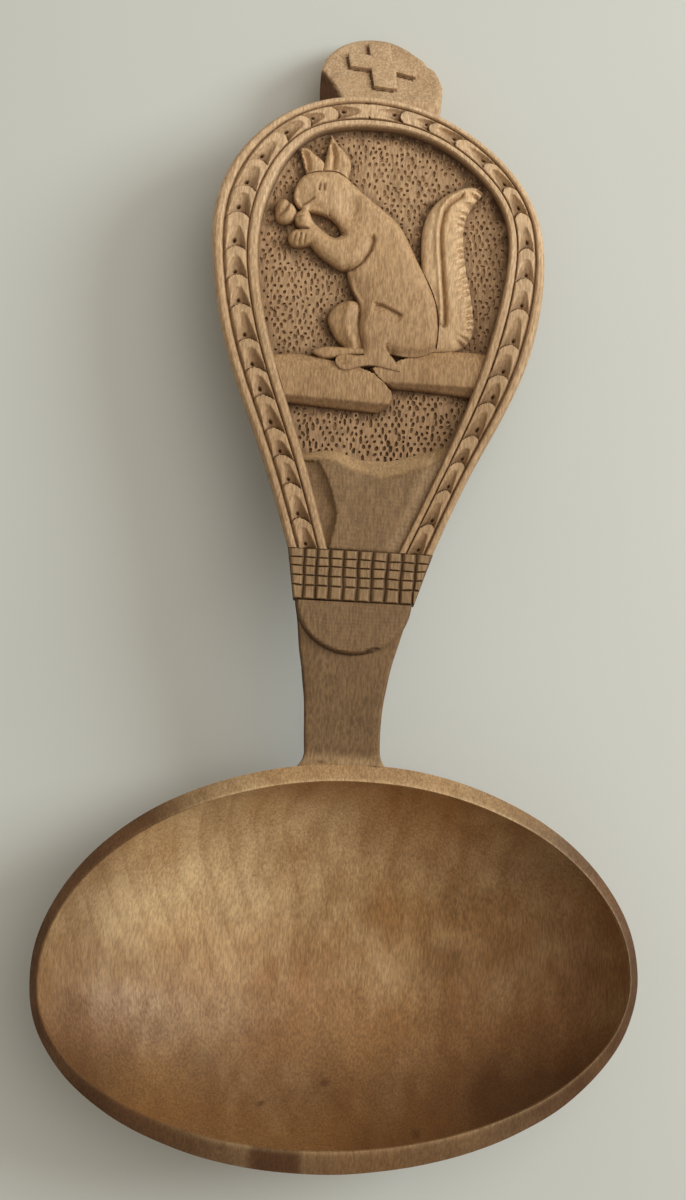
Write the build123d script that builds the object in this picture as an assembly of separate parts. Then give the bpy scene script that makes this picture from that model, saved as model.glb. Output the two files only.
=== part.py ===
from build123d import *
from math import atan, cos, degrees, radians, sin, sqrt, tan
import os

# A carved wooden spoon, cut from one block. Each zone that the carver lays out is one solid.
# Millimetres. The spoon is drawn in the carver's own frame: X across it, Y from the bowl to the
# finial with 0 on the bowl's widest line, Z up with 0 at the rim. At the end it is laid on the
# table, where it rests on the foot of the bowl and the nose of the finial.

# ---- Driving sizes ----

# Bowl, an egg-shaped dome hung below the rim
bowl_width = 126
bowl_back = 45
bowl_front = 39
bowl_depth = 29
bowl_skew = 4.2
dome_rise = 10
rim_side = 1.7
rim_back = 3.5
rim_front = 4.8
rim_drop = 1.8
bevel_overrun = 1.5
floor_thickness = 4.2
hollow_rise = 9

# Neck: each station is (distance from the bowl's middle, left side, right side, top, underside)
neck_stations = (
    (36.0, -8.6, 7.4, -4.4, -13.6),
    (46.5, -8.9, 6.9, -1.0, -9.8),
    (56.0, -9.4, 7.0, 1.6, -6.0),
    (67.0, -10.9, 8.8, 4.6, -3.2),
    (78.2, -12.5, 11.8, 6.6, -1.4),
    (88.6, -14.1, 15.1, 7.4, -0.5),
)
neck_corner = 1.6

# Tongue and lattice band, which lie on the neck
band_start = 78.2
band_top_left = -14.4
band_top_right = 15.5
band_foot_left = -12.8
band_foot_right = 12.2
band_foot_height = 8.3
tongue_reach = 10.6
tongue_left = -12.0
tongue_right = 11.4
tongue_tip_height = 6.4
tongue_lap = 0.3
lattice_pitch = 2.9
lattice_first = -10.9
lattice_columns = 9
lattice_rows = (81.1, 83.1, 85.0, 86.7)
bar_groove = 1.0
row_groove = 0.6

# Medallion: it starts at the band's upper edge
medallion_start = 88.6
medallion_width = 69.3
medallion_length = 96.0
border_height = 9.0
ground_depth = 3.6
plate_underside = -0.5
plate_edge_bevel = 1.8
bead_share = 0.24
leaf_share = 0.52
groove_width = 0.5
leaf_drop = 0.3

# Leaves: one gouge cut each, up both sides of the border, deepest at the tip of the leaf below
leaves_per_side = 17
gouge_radius = 3.2
gouge_depth = 1.0
gouge_share = 0.6

# Relief on the sunk ground
figure_height = 47.4
perch_share = 0.42
apron_length = 20.0
apron_rise = 3.1
apron_bevel = 2.6
apron_crest_drop = 2.6
log_rise = 3.2
log_thickness = 10.8
log_taper = 0.4
branch_rise = 2.8
branch_thickness = 8.4

# Rise of each form over the ground, and how far its crown stands above its edge
foreleg_rise, foreleg_crown = 3.6, 1.2
nut_rise, nut_crown = 3.0, 0.8
haunch_rise, haunch_crown = 3.6, 1.4
head_rise, head_crown = 3.3, 1.2
ear_rise, ear_crown = 2.4, 0.6
torso_rise, torso_crown = 3.5, 1.6
far_leg_rise, far_leg_crown = 2.6, 0.9
tail_rise, tail_crown = 2.6, 1.0

# Finial, bent back below the medallion's plane
finial_slope = 34
finial_width = 26.3
finial_length = 21.3
finial_thickness = 8.0
finial_start_height = 6.8
finial_root = 8.0
nose_round = 3.0
cross_span = 14.8
cross_arm = 4.8
cross_rise = 1.0
cross_place = 11.0
cross_offset = -0.3
crossbar_lean = -12
post_lean = 5

# Rest on the table
foot_cut = 0.5
nose_cut = 0.2

# ---- Worked out from the sizes above ----

ground_height = border_height - ground_depth
medallion_end = medallion_start + medallion_length
slope = radians(finial_slope)
skew = radians(bowl_skew)
half_turn = 180
big = 4 * (bowl_width + medallion_length)


def swell(rise, depth, below):
    """Width of a dome, as a share of its widest, at a depth below the rim."""
    return sqrt(1 - ((rise + below) / (rise + depth)) ** 2)


outer_swell = swell(dome_rise, bowl_depth, rim_drop)
dome_radii = (bowl_width / 2 / outer_swell, bowl_back / outer_swell, bowl_front / outer_swell)
hollow_depth = bowl_depth - floor_thickness
inner_swell = swell(hollow_rise, hollow_depth, 0)
inner_rim = (bowl_width / 2 - rim_side, bowl_back - rim_back, bowl_front - rim_front)
hollow_radii = tuple(reach / inner_swell for reach in inner_rim)


# ---- Bowl ----

def egg_dome(half_width, back, front, rise, depth):
    """Two half ellipsoids of one width, joined across the spoon and cut off at the rim."""
    halves = []
    for reach, side in ((back, Keep.BOTTOM), (front, Keep.TOP)):
        half_ball = split(Sphere(1), bisect_by=Plane.XZ, keep=side)
        halves.append(scale(half_ball, by=(half_width, reach, rise + depth)))
    dome = Pos(0, 0, rise) * (halves[0] + halves[1])
    return split(dome, bisect_by=Plane.XY, keep=Keep.BOTTOM)


def egg_face(half_width, back, front, height):
    back_arc = EllipticalCenterArc((0, 0), half_width, back, 0, arc_size=half_turn)
    front_arc = EllipticalCenterArc((0, 0), half_width, front, half_turn, arc_size=half_turn)
    return Pos(0, 0, height) * make_face([back_arc, front_arc])


def bowl_blank():
    """The bowl before it is hollowed, with the outward-sloping bevel of its rim."""
    dome = egg_dome(*dome_radii, dome_rise, bowl_depth)
    bevel_depth = bevel_overrun * rim_drop
    crest = egg_face(*inner_rim, 0)
    foot = egg_face(
        inner_rim[0] + rim_side * bevel_overrun,
        inner_rim[1] + rim_back * bevel_overrun,
        inner_rim[2] + rim_front * bevel_overrun,
        -bevel_depth,
    )
    below = Pos(0, 0, -bevel_depth - big / 2) * Box(big, big, big)
    bevelled = dome & (loft([foot, crest], ruled=True) + below)
    return Rot(Z=bowl_skew) * bevelled


def bowl_hollow():
    return Rot(Z=bowl_skew) * egg_dome(*hollow_radii, hollow_rise, hollow_depth)


# ---- Neck, tongue and band ----

def neck_section(y, left, right, top, underside):
    """Rectangle across the neck, facing the finial, with its corners pared off."""
    plane = Plane(origin=((left + right) / 2, y, (top + underside) / 2), x_dir=(1, 0, 0), z_dir=(0, 1, 0))
    block = Rectangle(right - left, top - underside)
    return plane * chamfer(block.vertices(), neck_corner)


def neck_blank():
    """Straight knife cuts from station to station."""
    return loft([neck_section(*station) for station in neck_stations], ruled=True)


def side_profile(points):
    """Solid whose side view is the outline given as (distance along the spoon, height)."""
    outline = make_face(Plane.YZ * Polyline(*points, close=True))
    return extrude(outline, big, both=True)


def upright(face, low, high):
    """Column over a plan outline, between two heights."""
    return Pos(0, 0, low) * extrude(face, high - low, dir=(0, 0, 1))


def tongue_plan():
    middle = (tongue_left + tongue_right) / 2
    half_width = (tongue_right - tongue_left) / 2
    arc = EllipticalCenterArc((middle, band_start), half_width, tongue_reach, half_turn, arc_size=half_turn)
    return make_face([arc, Line(arc @ 1, arc @ 0)])


def tongue_solid():
    tip = band_start - tongue_reach
    outline = [
        (tip, 0),
        (tip, tongue_tip_height),
        (band_start, band_foot_height - tongue_lap),
        (band_start, 0),
    ]
    return side_profile(outline) & upright(tongue_plan(), 0, border_height)


def band_plan():
    corners = [
        (band_foot_left, band_start),
        (band_foot_right, band_start),
        (band_top_right, medallion_start),
        (band_top_left, medallion_start),
    ]
    return make_face(Polyline(*corners, close=True))


def vee(width, length):
    """Square bar standing on its edge, which cuts a V groove half as deep as it is wide."""
    side = width / sqrt(2)
    return Rot(Y=45) * Box(side, length, side)


def band_solid():
    outline = [
        (band_start, 0),
        (band_start, band_foot_height),
        (medallion_start, border_height),
        (medallion_start, 0),
    ]
    band = side_profile(outline) & upright(band_plan(), 0, border_height)
    rise = border_height - band_foot_height
    tilt = atan(rise / (medallion_start - band_start))
    middle = (band_start + medallion_start) / 2
    bar = vee(bar_groove, 2 * (medallion_start - band_start))
    row = Rot(Z=90) * vee(row_groove, big)
    for column in range(lattice_columns):
        x = lattice_first + column * lattice_pitch
        place = Pos(x, middle, (band_foot_height + border_height) / 2)
        band -= place * Rot(X=degrees(tilt)) * bar
    for y in lattice_rows:
        height = band_foot_height + (y - band_start) * tan(tilt)
        band -= Pos(0, y, height) * row
    return band


# ---- Medallion ----

# Stations from the lower left over the top to the lower right: share of half the width, and share
# of the length. The outer edge is the medallion's outline, the field edge bounds the sunk ground.
outer_edge = (
    (-0.415, 0), (-0.62, 0.21), (-0.85, 0.42), (-0.968, 0.62), (-0.935, 0.80), (-0.59, 0.953),
    (-0.02, 1), (0.54, 0.93), (0.91, 0.80), (1.03, 0.635), (0.94, 0.413), (0.68, 0.205), (0.445, 0),
)
field_edge = (
    (-0.18, 0), (-0.36, 0.205), (-0.58, 0.43), (-0.697, 0.635), (-0.635, 0.79), (-0.41, 0.905),
    (-0.01, 0.932), (0.375, 0.898), (0.72, 0.79), (0.807, 0.64), (0.685, 0.42), (0.48, 0.207), (0.24, 0),
)


def edge_curve(share):
    """Line round the medallion, at a share of the way from its outline to the field."""
    points = []
    for (x0, y0), (x1, y1) in zip(outer_edge, field_edge):
        across = (x0 + (x1 - x0) * share) * medallion_width / 2
        along = (y0 + (y1 - y0) * share) * medallion_length
        points.append((across, medallion_start + along))
    return Spline(*points)


def inside(share):
    curve = edge_curve(share)
    return make_face([curve, Line(curve @ 1, curve @ 0)])


def moulding(start, end, top):
    """One run of the border, from band to band, with bevelled upper edges."""
    outer = edge_curve(start)
    inner = edge_curve(end)
    outline = make_face([outer, Line(outer @ 1, inner @ 1), inner, Line(inner @ 0, outer @ 0)])
    bar = upright(outline, ground_height, top)
    crest = bar.faces().sort_by(Axis.Z)[-1]
    long_edges = crest.edges().sort_by(SortBy.LENGTH)[-2:]
    return chamfer(long_edges, groove_width)


def gouge_cuts():
    """Scoops of a round gouge along the leaf band, each stopped upright at its deep end."""
    line = edge_curve(bead_share + leaf_share / 2)
    count = 2 * leaves_per_side
    cut_length = gouge_share * line.length / count
    tilt = atan(gouge_depth / cut_length)
    cuts = []
    for number in range(count):
        share = number / count
        way = line % share
        if number >= leaves_per_side:
            share += 1 / count
            way = -(line % share)
        start = line @ share
        plane = Plane(
            origin=(start.X, start.Y, border_height - leaf_drop - gouge_depth + gouge_radius),
            x_dir=(-way.Y, way.X, 0),
            z_dir=(way.X * cos(tilt), way.Y * cos(tilt), sin(tilt)),
        )
        base = (Align.CENTER, Align.CENTER, Align.MIN)
        cuts.append(plane * Cylinder(gouge_radius, 2 * cut_length, align=base))
    return cuts


def leaf_band_solid():
    band = moulding(bead_share, bead_share + leaf_share, border_height - leaf_drop)
    return band - gouge_cuts()


def plate_solid():
    plate = upright(inside(0), plate_underside, ground_height)
    back = plate.faces().sort_by(Axis.Z)[0]
    back_edge = back.edges().sort_by(SortBy.LENGTH)[-1]
    return chamfer(back_edge, plate_edge_bevel)


# ---- Relief ----

# The figure is drawn in millimetres, 47.4 high from its perch to the tip of its ear, and each
# outline is a ring of runs that meet at its sharp corners.
drawn_height = 47.4
perch = medallion_start + perch_share * medallion_length
figure_scale = figure_height / drawn_height

torso_runs = (
    ((-5.5, 37.4), (0.0, 32.9), (5.6, 28.1), (9.0, 21.6), (12.4, 15.5), (14.3, 8.6), (14.1, 2.6)),
    ((14.1, 2.6), (10.5, 0.4), (5.0, 0.3), (-1.0, 1.1)),
    ((-1.0, 1.1), (-2.3, 11.1), (-5.0, 16.1), (-5.6, 20.1), (-8.5, 29.1)),
    ((-8.5, 29.1), (-5.5, 37.4)),
)
head_runs = (
    ((-8.5, 29.1), (-11.4, 30.3), (-15.4, 30.9), (-17.3, 32.8), (-17.2, 35.8), (-15.6, 38.2)),
    ((-15.6, 38.2), (-12.0, 39.4), (-8.5, 39.4), (-5.5, 37.4)),
    ((-5.5, 37.4), (-8.5, 29.1)),
)
near_ear_runs = (
    ((-11.7, 38.4), (-11.3, 42.2), (-10.3, 47.4)),
    ((-10.3, 47.4), (-8.0, 44.6), (-6.1, 41.4), (-6.6, 38.0)),
    ((-6.6, 38.0), (-11.7, 38.4)),
)
far_ear_runs = (
    ((-15.0, 38.0), (-16.2, 41.7), (-16.7, 44.2)),
    ((-16.7, 44.2), (-13.6, 43.0), (-11.5, 41.0), (-12.0, 38.6)),
    ((-12.0, 38.6), (-15.0, 38.0)),
)
foreleg_runs = (
    ((-0.2, 24.6), (-2.2, 20.5), (-5.6, 18.6), (-9.4, 20.1), (-13.4, 23.4)),
    ((-13.4, 23.4), (-17.0, 23.1), (-18.1, 25.0), (-16.2, 26.4), (-13.4, 25.8)),
    ((-13.4, 25.8), (-10.4, 25.4), (-8.0, 24.8), (-6.2, 27.2), (-3.0, 28.9), (-0.2, 24.6)),
)
nut_runs = (
    ((-21.2, 30.8), (-19.0, 32.3), (-17.0, 30.4), (-15.2, 31.0), (-13.7, 29.8), (-14.6, 27.0)),
    ((-14.6, 27.0), (-17.2, 27.3), (-19.0, 28.6), (-20.9, 28.9), (-21.2, 30.8)),
)
haunch_runs = (
    ((-2.4, 11.2), (1.0, 11.7), (6.5, 9.3), (8.6, 5.6), (7.5, 2.1), (4.5, 1.3)),
    ((4.5, 1.3), (5.6, -0.3), (6.7, -2.5)),
    ((6.7, -2.5), (3.3, -1.9), (0.4, -1.5), (-4.4, -2.8), (-6.6, -0.6), (-5.0, 0.7), (-1.0, 0.3)),
    ((-1.0, 0.3), (-2.2, 5.0), (-2.4, 11.2)),
)
far_leg_runs = (
    ((-2.2, 12.0), (-5.8, 12.2), (-8.8, 9.0), (-7.8, 5.2), (-6.5, 2.3)),
    ((-6.5, 2.3), (-9.3, 2.2), (-11.7, 1.0)),
    ((-11.7, 1.0), (-9.0, -0.6), (-5.5, 0.0), (-2.0, 0.6)),
    ((-2.0, 0.6), (-2.2, 12.0)),
)
tail_runs = (
    ((13.0, 2.4), (11.5, 11.1), (10.0, 20.1), (9.9, 28.1), (12.8, 34.6), (18.0, 37.6), (22.3, 36.6)),
    ((22.3, 36.6), (18.6, 29.8), (19.0, 21.7), (21.3, 11.1), (20.5, 5.2), (16.4, 2.8)),
    ((16.4, 2.8), (13.0, 2.4)),
)

# Logs: where each starts under the border, the height of its axis at its two ends, and the
# corners of its broken end
log_start = -26.0
log_shoulder = -8.0
log_break = 8.0
log_axis = (-4.9, -5.9)
log_end = ((2.0, -3.7), (5.1, -6.4), (5.4, -8.6), (2.4, -10.9))
branch_start = 29.0
branch_shoulder = 14.5
branch_break = -2.0
branch_axis = (-2.4, -2.9)
branch_end = ((5.4, -5.6), (2.0, -3.9), (6.0, -0.7))


def placed(point):
    return (point[0] * figure_scale, perch + point[1] * figure_scale)


def outline_face(runs):
    """Face bounded by runs of points: smooth along each run, cornered where runs meet."""
    curves = []
    for run in runs:
        points = [placed(point) for point in run]
        curves.append(Spline(*points) if len(points) > 2 else Line(*points))
    return make_face(curves)


def crowned(face, rise, crown):
    """Outline cut straight down to the ground, its top domed by the crown."""
    block = upright(face, ground_height, ground_height + rise)
    box = block.bounding_box()
    reach = sqrt(box.size.X ** 2 + box.size.Y ** 2) / 2
    radius = (reach ** 2 + crown ** 2) / (2 * crown)
    middle = box.center()
    return block & (Pos(middle.X, middle.Y, ground_height + rise - radius) * Sphere(radius))


def round_bar(face, start, end, rise, thickness):
    """Outline under a half-sunk round bar that runs from start to end."""
    (x0, y0), (x1, y1) = placed(start), placed(end)
    radius = ((thickness / 2) ** 2 + rise ** 2) / (2 * rise)
    length = sqrt((x1 - x0) ** 2 + (y1 - y0) ** 2)
    plane = Plane(
        origin=((x0 + x1) / 2, (y0 + y1) / 2, ground_height + rise - radius),
        x_dir=(0, 0, 1),
        z_dir=(x1 - x0, y1 - y0, 0),
    )
    bar = plane * Cylinder(radius, length)
    return upright(face, ground_height, border_height) & bar


def log_outline():
    half = log_thickness / 2
    corners = [(log_start, log_axis[0] + half), (log_shoulder, log_axis[0] + half - log_taper)]
    corners += log_end
    corners += [(log_start, log_axis[0] - half)]
    return make_face(Polyline(*[placed(point) for point in corners], close=True))


def branch_outline():
    half = branch_thickness / 2
    corners = [(branch_shoulder, branch_axis[0] + half), (branch_start, branch_axis[0] + half)]
    corners += [(branch_start, branch_axis[0] - half + log_taper)]
    corners += branch_end
    return make_face(Polyline(*[placed(point) for point in corners], close=True))


# Crest of the apron: share of half the width, and rise over the apron's length
apron_crest = ((-1, 0), (-0.19, 0.9), (0.06, -0.9), (1, 4))


def apron_solid():
    """Plain wedge across the foot of the field, bevelled down to the ground at its upper edge."""
    half = medallion_width / 2
    top = medallion_start + apron_length
    points = [(half * across, top + rise) for across, rise in apron_crest]
    crest = Spline(*points)
    foot = [points[-1], (half, medallion_start), (-half, medallion_start), points[0]]
    outline = make_face([crest, Polyline(*foot)])
    wedge = upright(outline, ground_height, ground_height + apron_rise)
    crest_face = wedge.faces().sort_by(Axis.Z)[-1]
    crest_edge = crest_face.edges().sort_by(Axis.Y)[-1]
    bevelled = chamfer(crest_edge, apron_crest_drop, apron_bevel, reference=crest_face)
    return bevelled & upright(inside(1), ground_height, border_height)


def head_solid():
    head = crowned(outline_face(head_runs), head_rise, head_crown)
    for runs in (near_ear_runs, far_ear_runs):
        head += crowned(outline_face(runs), ear_rise, ear_crown)
    return head


def relief_pieces():
    """Every form on the ground, nearest the eye first: each later one is cut back by those before."""
    log_ends = (log_start, log_axis[0]), (log_break, log_axis[1])
    branch_ends = (branch_break, branch_axis[1]), (branch_start, branch_axis[0])
    pieces = {
        "squirrel_foreleg": crowned(outline_face(foreleg_runs), foreleg_rise, foreleg_crown),
        "squirrel_nut": crowned(outline_face(nut_runs), nut_rise, nut_crown),
        "squirrel_haunch": crowned(outline_face(haunch_runs), haunch_rise, haunch_crown),
        "squirrel_head": head_solid(),
        "squirrel_torso": crowned(outline_face(torso_runs), torso_rise, torso_crown),
        "squirrel_far_leg": crowned(outline_face(far_leg_runs), far_leg_rise, far_leg_crown),
        "squirrel_tail": crowned(outline_face(tail_runs), tail_rise, tail_crown),
        "log_left": round_bar(log_outline(), *log_ends, log_rise, log_thickness),
        "log_right": round_bar(branch_outline(), *branch_ends, branch_rise, branch_thickness),
    }
    field = upright(inside(1), ground_height, border_height)
    seated = {}
    for name, piece in pieces.items():
        piece = piece & field
        for other in seated.values():
            piece -= other
        seated[name] = piece
    return seated


# ---- Finial ----

face_plane = Plane(
    origin=(0, medallion_end, finial_start_height),
    x_dir=(1, 0, 0),
    z_dir=(0, sin(slope), cos(slope)),
)

# Outline of the finial on its sloping face: share of half the width, share of the length
finial_edge = (
    (-0.93, -0.05), (-1.02, 0.25), (-1.0, 0.50), (-0.76, 0.83), (-0.30, 0.985),
    (0.05, 0.97), (0.55, 0.73), (0.89, 0.42), (0.97, 0.20), (0.85, -0.10),
)


def finial_section(inset, depth):
    """Outline of the finial, drawn in by the inset, at a depth below its sloping face."""
    points = [(x * (finial_width / 2 - inset), y * (finial_length - inset)) for x, y in finial_edge]
    curve = Spline(*points)
    root = [points[-1], (points[-1][0], -finial_root), (points[0][0], -finial_root), points[0]]
    return face_plane * Pos(0, 0, -depth) * make_face([curve, Polyline(*root)])


def finial_blank():
    """The bent-back end, square to its sloping face, its lower edge rounded in two flats."""
    turn = nose_round * (1 - sqrt(0.5))
    steps = [(nose_round, finial_thickness), (turn, finial_thickness - turn)]
    steps += [(0, finial_thickness - nose_round), (0, 0)]
    return loft([finial_section(*step) for step in steps], ruled=True)


def cross_solid():
    middle = Pos(cross_offset, cross_place)
    bar = middle * Rot(Z=crossbar_lean) * Rectangle(cross_span, cross_arm)
    post = middle * Rot(Z=post_lean) * Rectangle(cross_arm, cross_span)
    return extrude(face_plane * (bar + post), cross_rise, dir=face_plane.z_dir)


# ---- Lying on the table ----

def lie_down():
    """Placement that lays the spoon on a table: it rests on the dome and the nose of the finial."""
    across, back = dome_radii[0], dome_radii[1]
    height = dome_rise + bowl_depth
    reach = sqrt((across * sin(skew)) ** 2 + (back * cos(skew)) ** 2)
    along = finial_length - nose_round
    under = finial_thickness - nose_round
    nose_y = medallion_end + along * cos(slope) - under * sin(slope)
    nose_z = finial_start_height - along * sin(slope) - under * cos(slope)
    gap = dome_rise - nose_z + nose_round + foot_cut - nose_cut
    a = nose_y ** 2 - reach ** 2
    b = nose_y * gap
    c = gap ** 2 - height ** 2
    lean = atan((sqrt(b ** 2 - a * c) - b) / a)
    drop = sqrt((reach * sin(lean)) ** 2 + (height * cos(lean)) ** 2)
    foot_x = (across ** 2 - back ** 2) * sin(skew) * cos(skew) * sin(lean) / drop
    low_y = reach ** 2 * sin(lean) / drop
    low_z = dome_rise - height ** 2 * cos(lean) / drop
    foot_y = low_y + low_z * tan(lean)
    rest = (low_y - foot_y) * sin(lean) - low_z * cos(lean) - foot_cut
    return Pos(0, 0, rest) * Rot(X=-degrees(lean)) * Pos(-foot_x, -foot_y, 0)


# ---- Build ----

def main():
    blank = bowl_blank()
    neck = neck_blank()
    medallion = upright(inside(0), plate_underside, border_height)
    plate = plate_solid()
    nodes = {
        "bowl": blank - bowl_hollow(),
        "neck": neck - blank,
        "tongue": tongue_solid() - neck,
        "lattice_band": band_solid() - neck,
        "medallion_plate": plate,
        "outer_bead": moulding(0, bead_share, border_height),
        "leaf_band": leaf_band_solid(),
        "inner_bead": moulding(bead_share + leaf_share, 1, border_height),
        "apron_wedge": apron_solid(),
        "finial_hook": finial_blank() - plate - upright(inside(0), plate_underside + plate_edge_bevel, big),
        "finial_cross": cross_solid() - medallion,
    }
    nodes |= relief_pieces()

    placement = lie_down()
    table = Pos(0, 0, -big / 2) * Box(big, big, big)
    os.makedirs("parts", exist_ok=True)
    for name, solid in nodes.items():
        laid = placement * solid
        if name in ("bowl", "finial_hook"):
            laid -= table
        export_step(laid, f"parts/{name}.step")


if __name__ == "__main__":
    main()
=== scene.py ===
import math

import bmesh
import bpy
import numpy as np
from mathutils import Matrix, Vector
from mathutils.geometry import delaunay_2d_cdt


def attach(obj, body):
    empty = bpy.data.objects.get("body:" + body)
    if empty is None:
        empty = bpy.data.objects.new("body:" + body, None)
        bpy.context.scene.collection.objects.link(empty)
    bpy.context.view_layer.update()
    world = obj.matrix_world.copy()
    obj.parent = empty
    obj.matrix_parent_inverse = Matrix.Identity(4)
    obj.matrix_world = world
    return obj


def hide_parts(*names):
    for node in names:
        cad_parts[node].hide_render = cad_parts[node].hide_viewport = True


# A carved wooden spoon with a squirrel in a medallion. Every carved surface is drawn in the
# carver's own frame, in millimetres: X across the spoon, Y from the bowl to the finial with 0 on
# the bowl's widest line, Z up with 0 at the rim. laid() puts it on the table, in metres.

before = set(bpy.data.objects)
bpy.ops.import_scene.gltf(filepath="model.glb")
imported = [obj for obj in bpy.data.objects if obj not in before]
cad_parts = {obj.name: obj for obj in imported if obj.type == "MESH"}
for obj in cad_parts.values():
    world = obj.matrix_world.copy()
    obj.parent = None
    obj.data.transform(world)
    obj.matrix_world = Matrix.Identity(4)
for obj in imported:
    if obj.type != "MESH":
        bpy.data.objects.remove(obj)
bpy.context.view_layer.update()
MM = 0.001

# ---- How the spoon lies, and the camera over it ----

LEAN = math.radians(5.3282)
RIM_HEIGHT = 28.377
FOOT_X = 0.3714
FOOT_Y = 2.642
CAMERA_PLACE = (-0.0028178, 0.0761282, 0.450)
CAMERA_ROLL = math.radians(3.2)
LENS = 61.463
SENSOR = 36.0

# ---- Sizes of the carving ----

BOWL_HALF = 63.0
BOWL_BACK = 45.0
BOWL_FRONT = 39.0
BOWL_DEPTH = 29.0
BOWL_SKEW = math.radians(4.2)
DOME_RISE = 10.0
RIM_SIDE = 1.7
RIM_BACK = 3.5
RIM_FRONT = 4.8
RIM_DROP = 1.8
HOLLOW_DEPTH = 24.8
HOLLOW_RISE = 9.0

MEDALLION_START = 88.6
MEDALLION_LENGTH = 96.0
MEDALLION_HALF = 34.65
BORDER_TOP = 9.0
GROUND = 5.4
PLATE_UNDERSIDE = -0.5
PLATE_ROUND = 2.4
BEAD_SHARE = 0.24
LEAF_SHARE = 0.52
LEAVES_PER_SIDE = 17

FINIAL_SLOPE = math.radians(34)
FINIAL_START = (0.0, 184.6, 6.8)
FINIAL_THICKNESS = 8.0
NOSE_ROUND = 3.0
CROSS_RISE = 1.0

BAND_START = 78.2
BAND_FOOT_HEIGHT = 8.3
TONGUE_TIP_HEIGHT = 6.4

# How far the middle of a rounded corner lies inside each of its sides, for a radius of 1
CORNER_GAP = 1 - math.sqrt(0.5)
# How far the points of a carved surface stray from their even rows
JITTER = 0.05

RNG = np.random.default_rng(7)


# ---- Plan geometry ----

def cubic(knots, values, at):
    """Natural cubic line through the values at the knots."""
    gaps = np.diff(knots)
    size = len(knots)
    system = np.eye(size)
    right = np.zeros(values.shape)
    for i in range(1, size - 1):
        system[i, i - 1:i + 2] = gaps[i - 1], 2 * (gaps[i - 1] + gaps[i]), gaps[i]
        rise_after = (values[i + 1] - values[i]) / gaps[i]
        rise_before = (values[i] - values[i - 1]) / gaps[i - 1]
        right[i] = 6 * (rise_after - rise_before)
    bend = np.linalg.solve(system, right)
    span = np.clip(np.searchsorted(knots, at, side="right") - 1, 0, size - 2)
    gap = gaps[span][:, None]
    after = (np.asarray(at) - knots[span])[:, None] / gap
    before = 1 - after
    curve = (before ** 3 - before) * bend[span] + (after ** 3 - after) * bend[span + 1]
    return before * values[span] + after * values[span + 1] + curve * gap ** 2 / 6


def travelled(points):
    """Distance along a line up to each of its points."""
    return np.concatenate([[0], np.cumsum(np.linalg.norm(np.diff(points, axis=0), axis=1))])


def smooth_line(points, step):
    """Even steps along a smooth line through the points."""
    points = np.array(points, float)
    knots = travelled(points)
    count = max(2, int(round(knots[-1] / step)) + 1)
    return cubic(knots, points, np.linspace(0, knots[-1], count))


def outline(runs, step):
    """Closed outline from runs of points: smooth along each run, cornered where runs meet."""
    return np.vstack([smooth_line(run, step)[:-1] for run in runs])


def to_segments(points, starts, ends):
    """Distance of each point from the nearest of the segments, its share along and its side."""
    best = np.full(len(points), np.inf)
    where = np.zeros(len(points))
    side = np.ones(len(points))
    for index, (start, end) in enumerate(zip(starts, ends)):
        run = end - start
        away = points - start
        share = np.clip(away @ run / max(run @ run, 1e-12), 0, 1)
        miss = away - share[:, None] * run
        gap = np.hypot(miss[:, 0], miss[:, 1])
        nearer = gap < best
        best[nearer] = gap[nearer]
        where[nearer] = index + share[nearer]
        cross = run[0] * away[:, 1] - run[1] * away[:, 0]
        side[nearer] = np.sign(cross[nearer])
    return best, where, side


def to_line(points, line):
    """Distance of each point from a line, how many steps along it, and on which side."""
    line = np.asarray(line, float)
    return to_segments(points, line[:-1], line[1:])


def gap_to(points, line):
    """Distance of each point from a line."""
    return to_line(points, line)[0]


def gap_to_edge(points, ring):
    """Distance of each point from a closed outline."""
    return gap_to(points, np.vstack([ring, ring[:1]]))


def within(points, ring):
    """Which points lie inside a closed outline."""
    inside = np.zeros(len(points), bool)
    x, y = points[:, 0], points[:, 1]
    for (x0, y0), (x1, y1) in zip(ring, np.roll(ring, -1, axis=0)):
        crosses = (y0 > y) != (y1 > y)
        if y1 != y0:
            inside ^= crosses & (x < (x1 - x0) * (y - y0) / (y1 - y0) + x0)
    return inside


def within_any(points, rings):
    """Which points lie inside at least one of the outlines."""
    return np.any([within(points, ring) for ring in rings], axis=0)


def fade(value):
    """Smooth step from 0 to 1."""
    value = np.clip(value, 0, 1)
    return value * value * (3 - 2 * value)


def bell(distance, width):
    """1 at no distance, falling away smoothly over the width."""
    return np.exp(-(distance / width) ** 2)


def wander(points, size, seed):
    """Smooth uneven values from -1 to 1 that change over about the given size."""
    cells = 64
    table = np.random.default_rng(seed).uniform(-1, 1, (cells, cells))
    place = np.asarray(points, float)[:, :2] / size
    cell = np.floor(place).astype(int)
    part = fade(place - cell)

    def corner(right, up):
        return table[(cell[:, 0] + right) % cells, (cell[:, 1] + up) % cells]

    lower = corner(0, 0) + (corner(1, 0) - corner(0, 0)) * part[:, 0]
    upper = corner(0, 1) + (corner(1, 1) - corner(0, 1)) * part[:, 0]
    return lower + (upper - lower) * part[:, 1]


def wander_grid(grid, size, seed):
    """Uneven values for a grid of points."""
    return wander(grid.reshape(-1, grid.shape[-1]), size, seed).reshape(grid.shape[:2])


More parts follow.
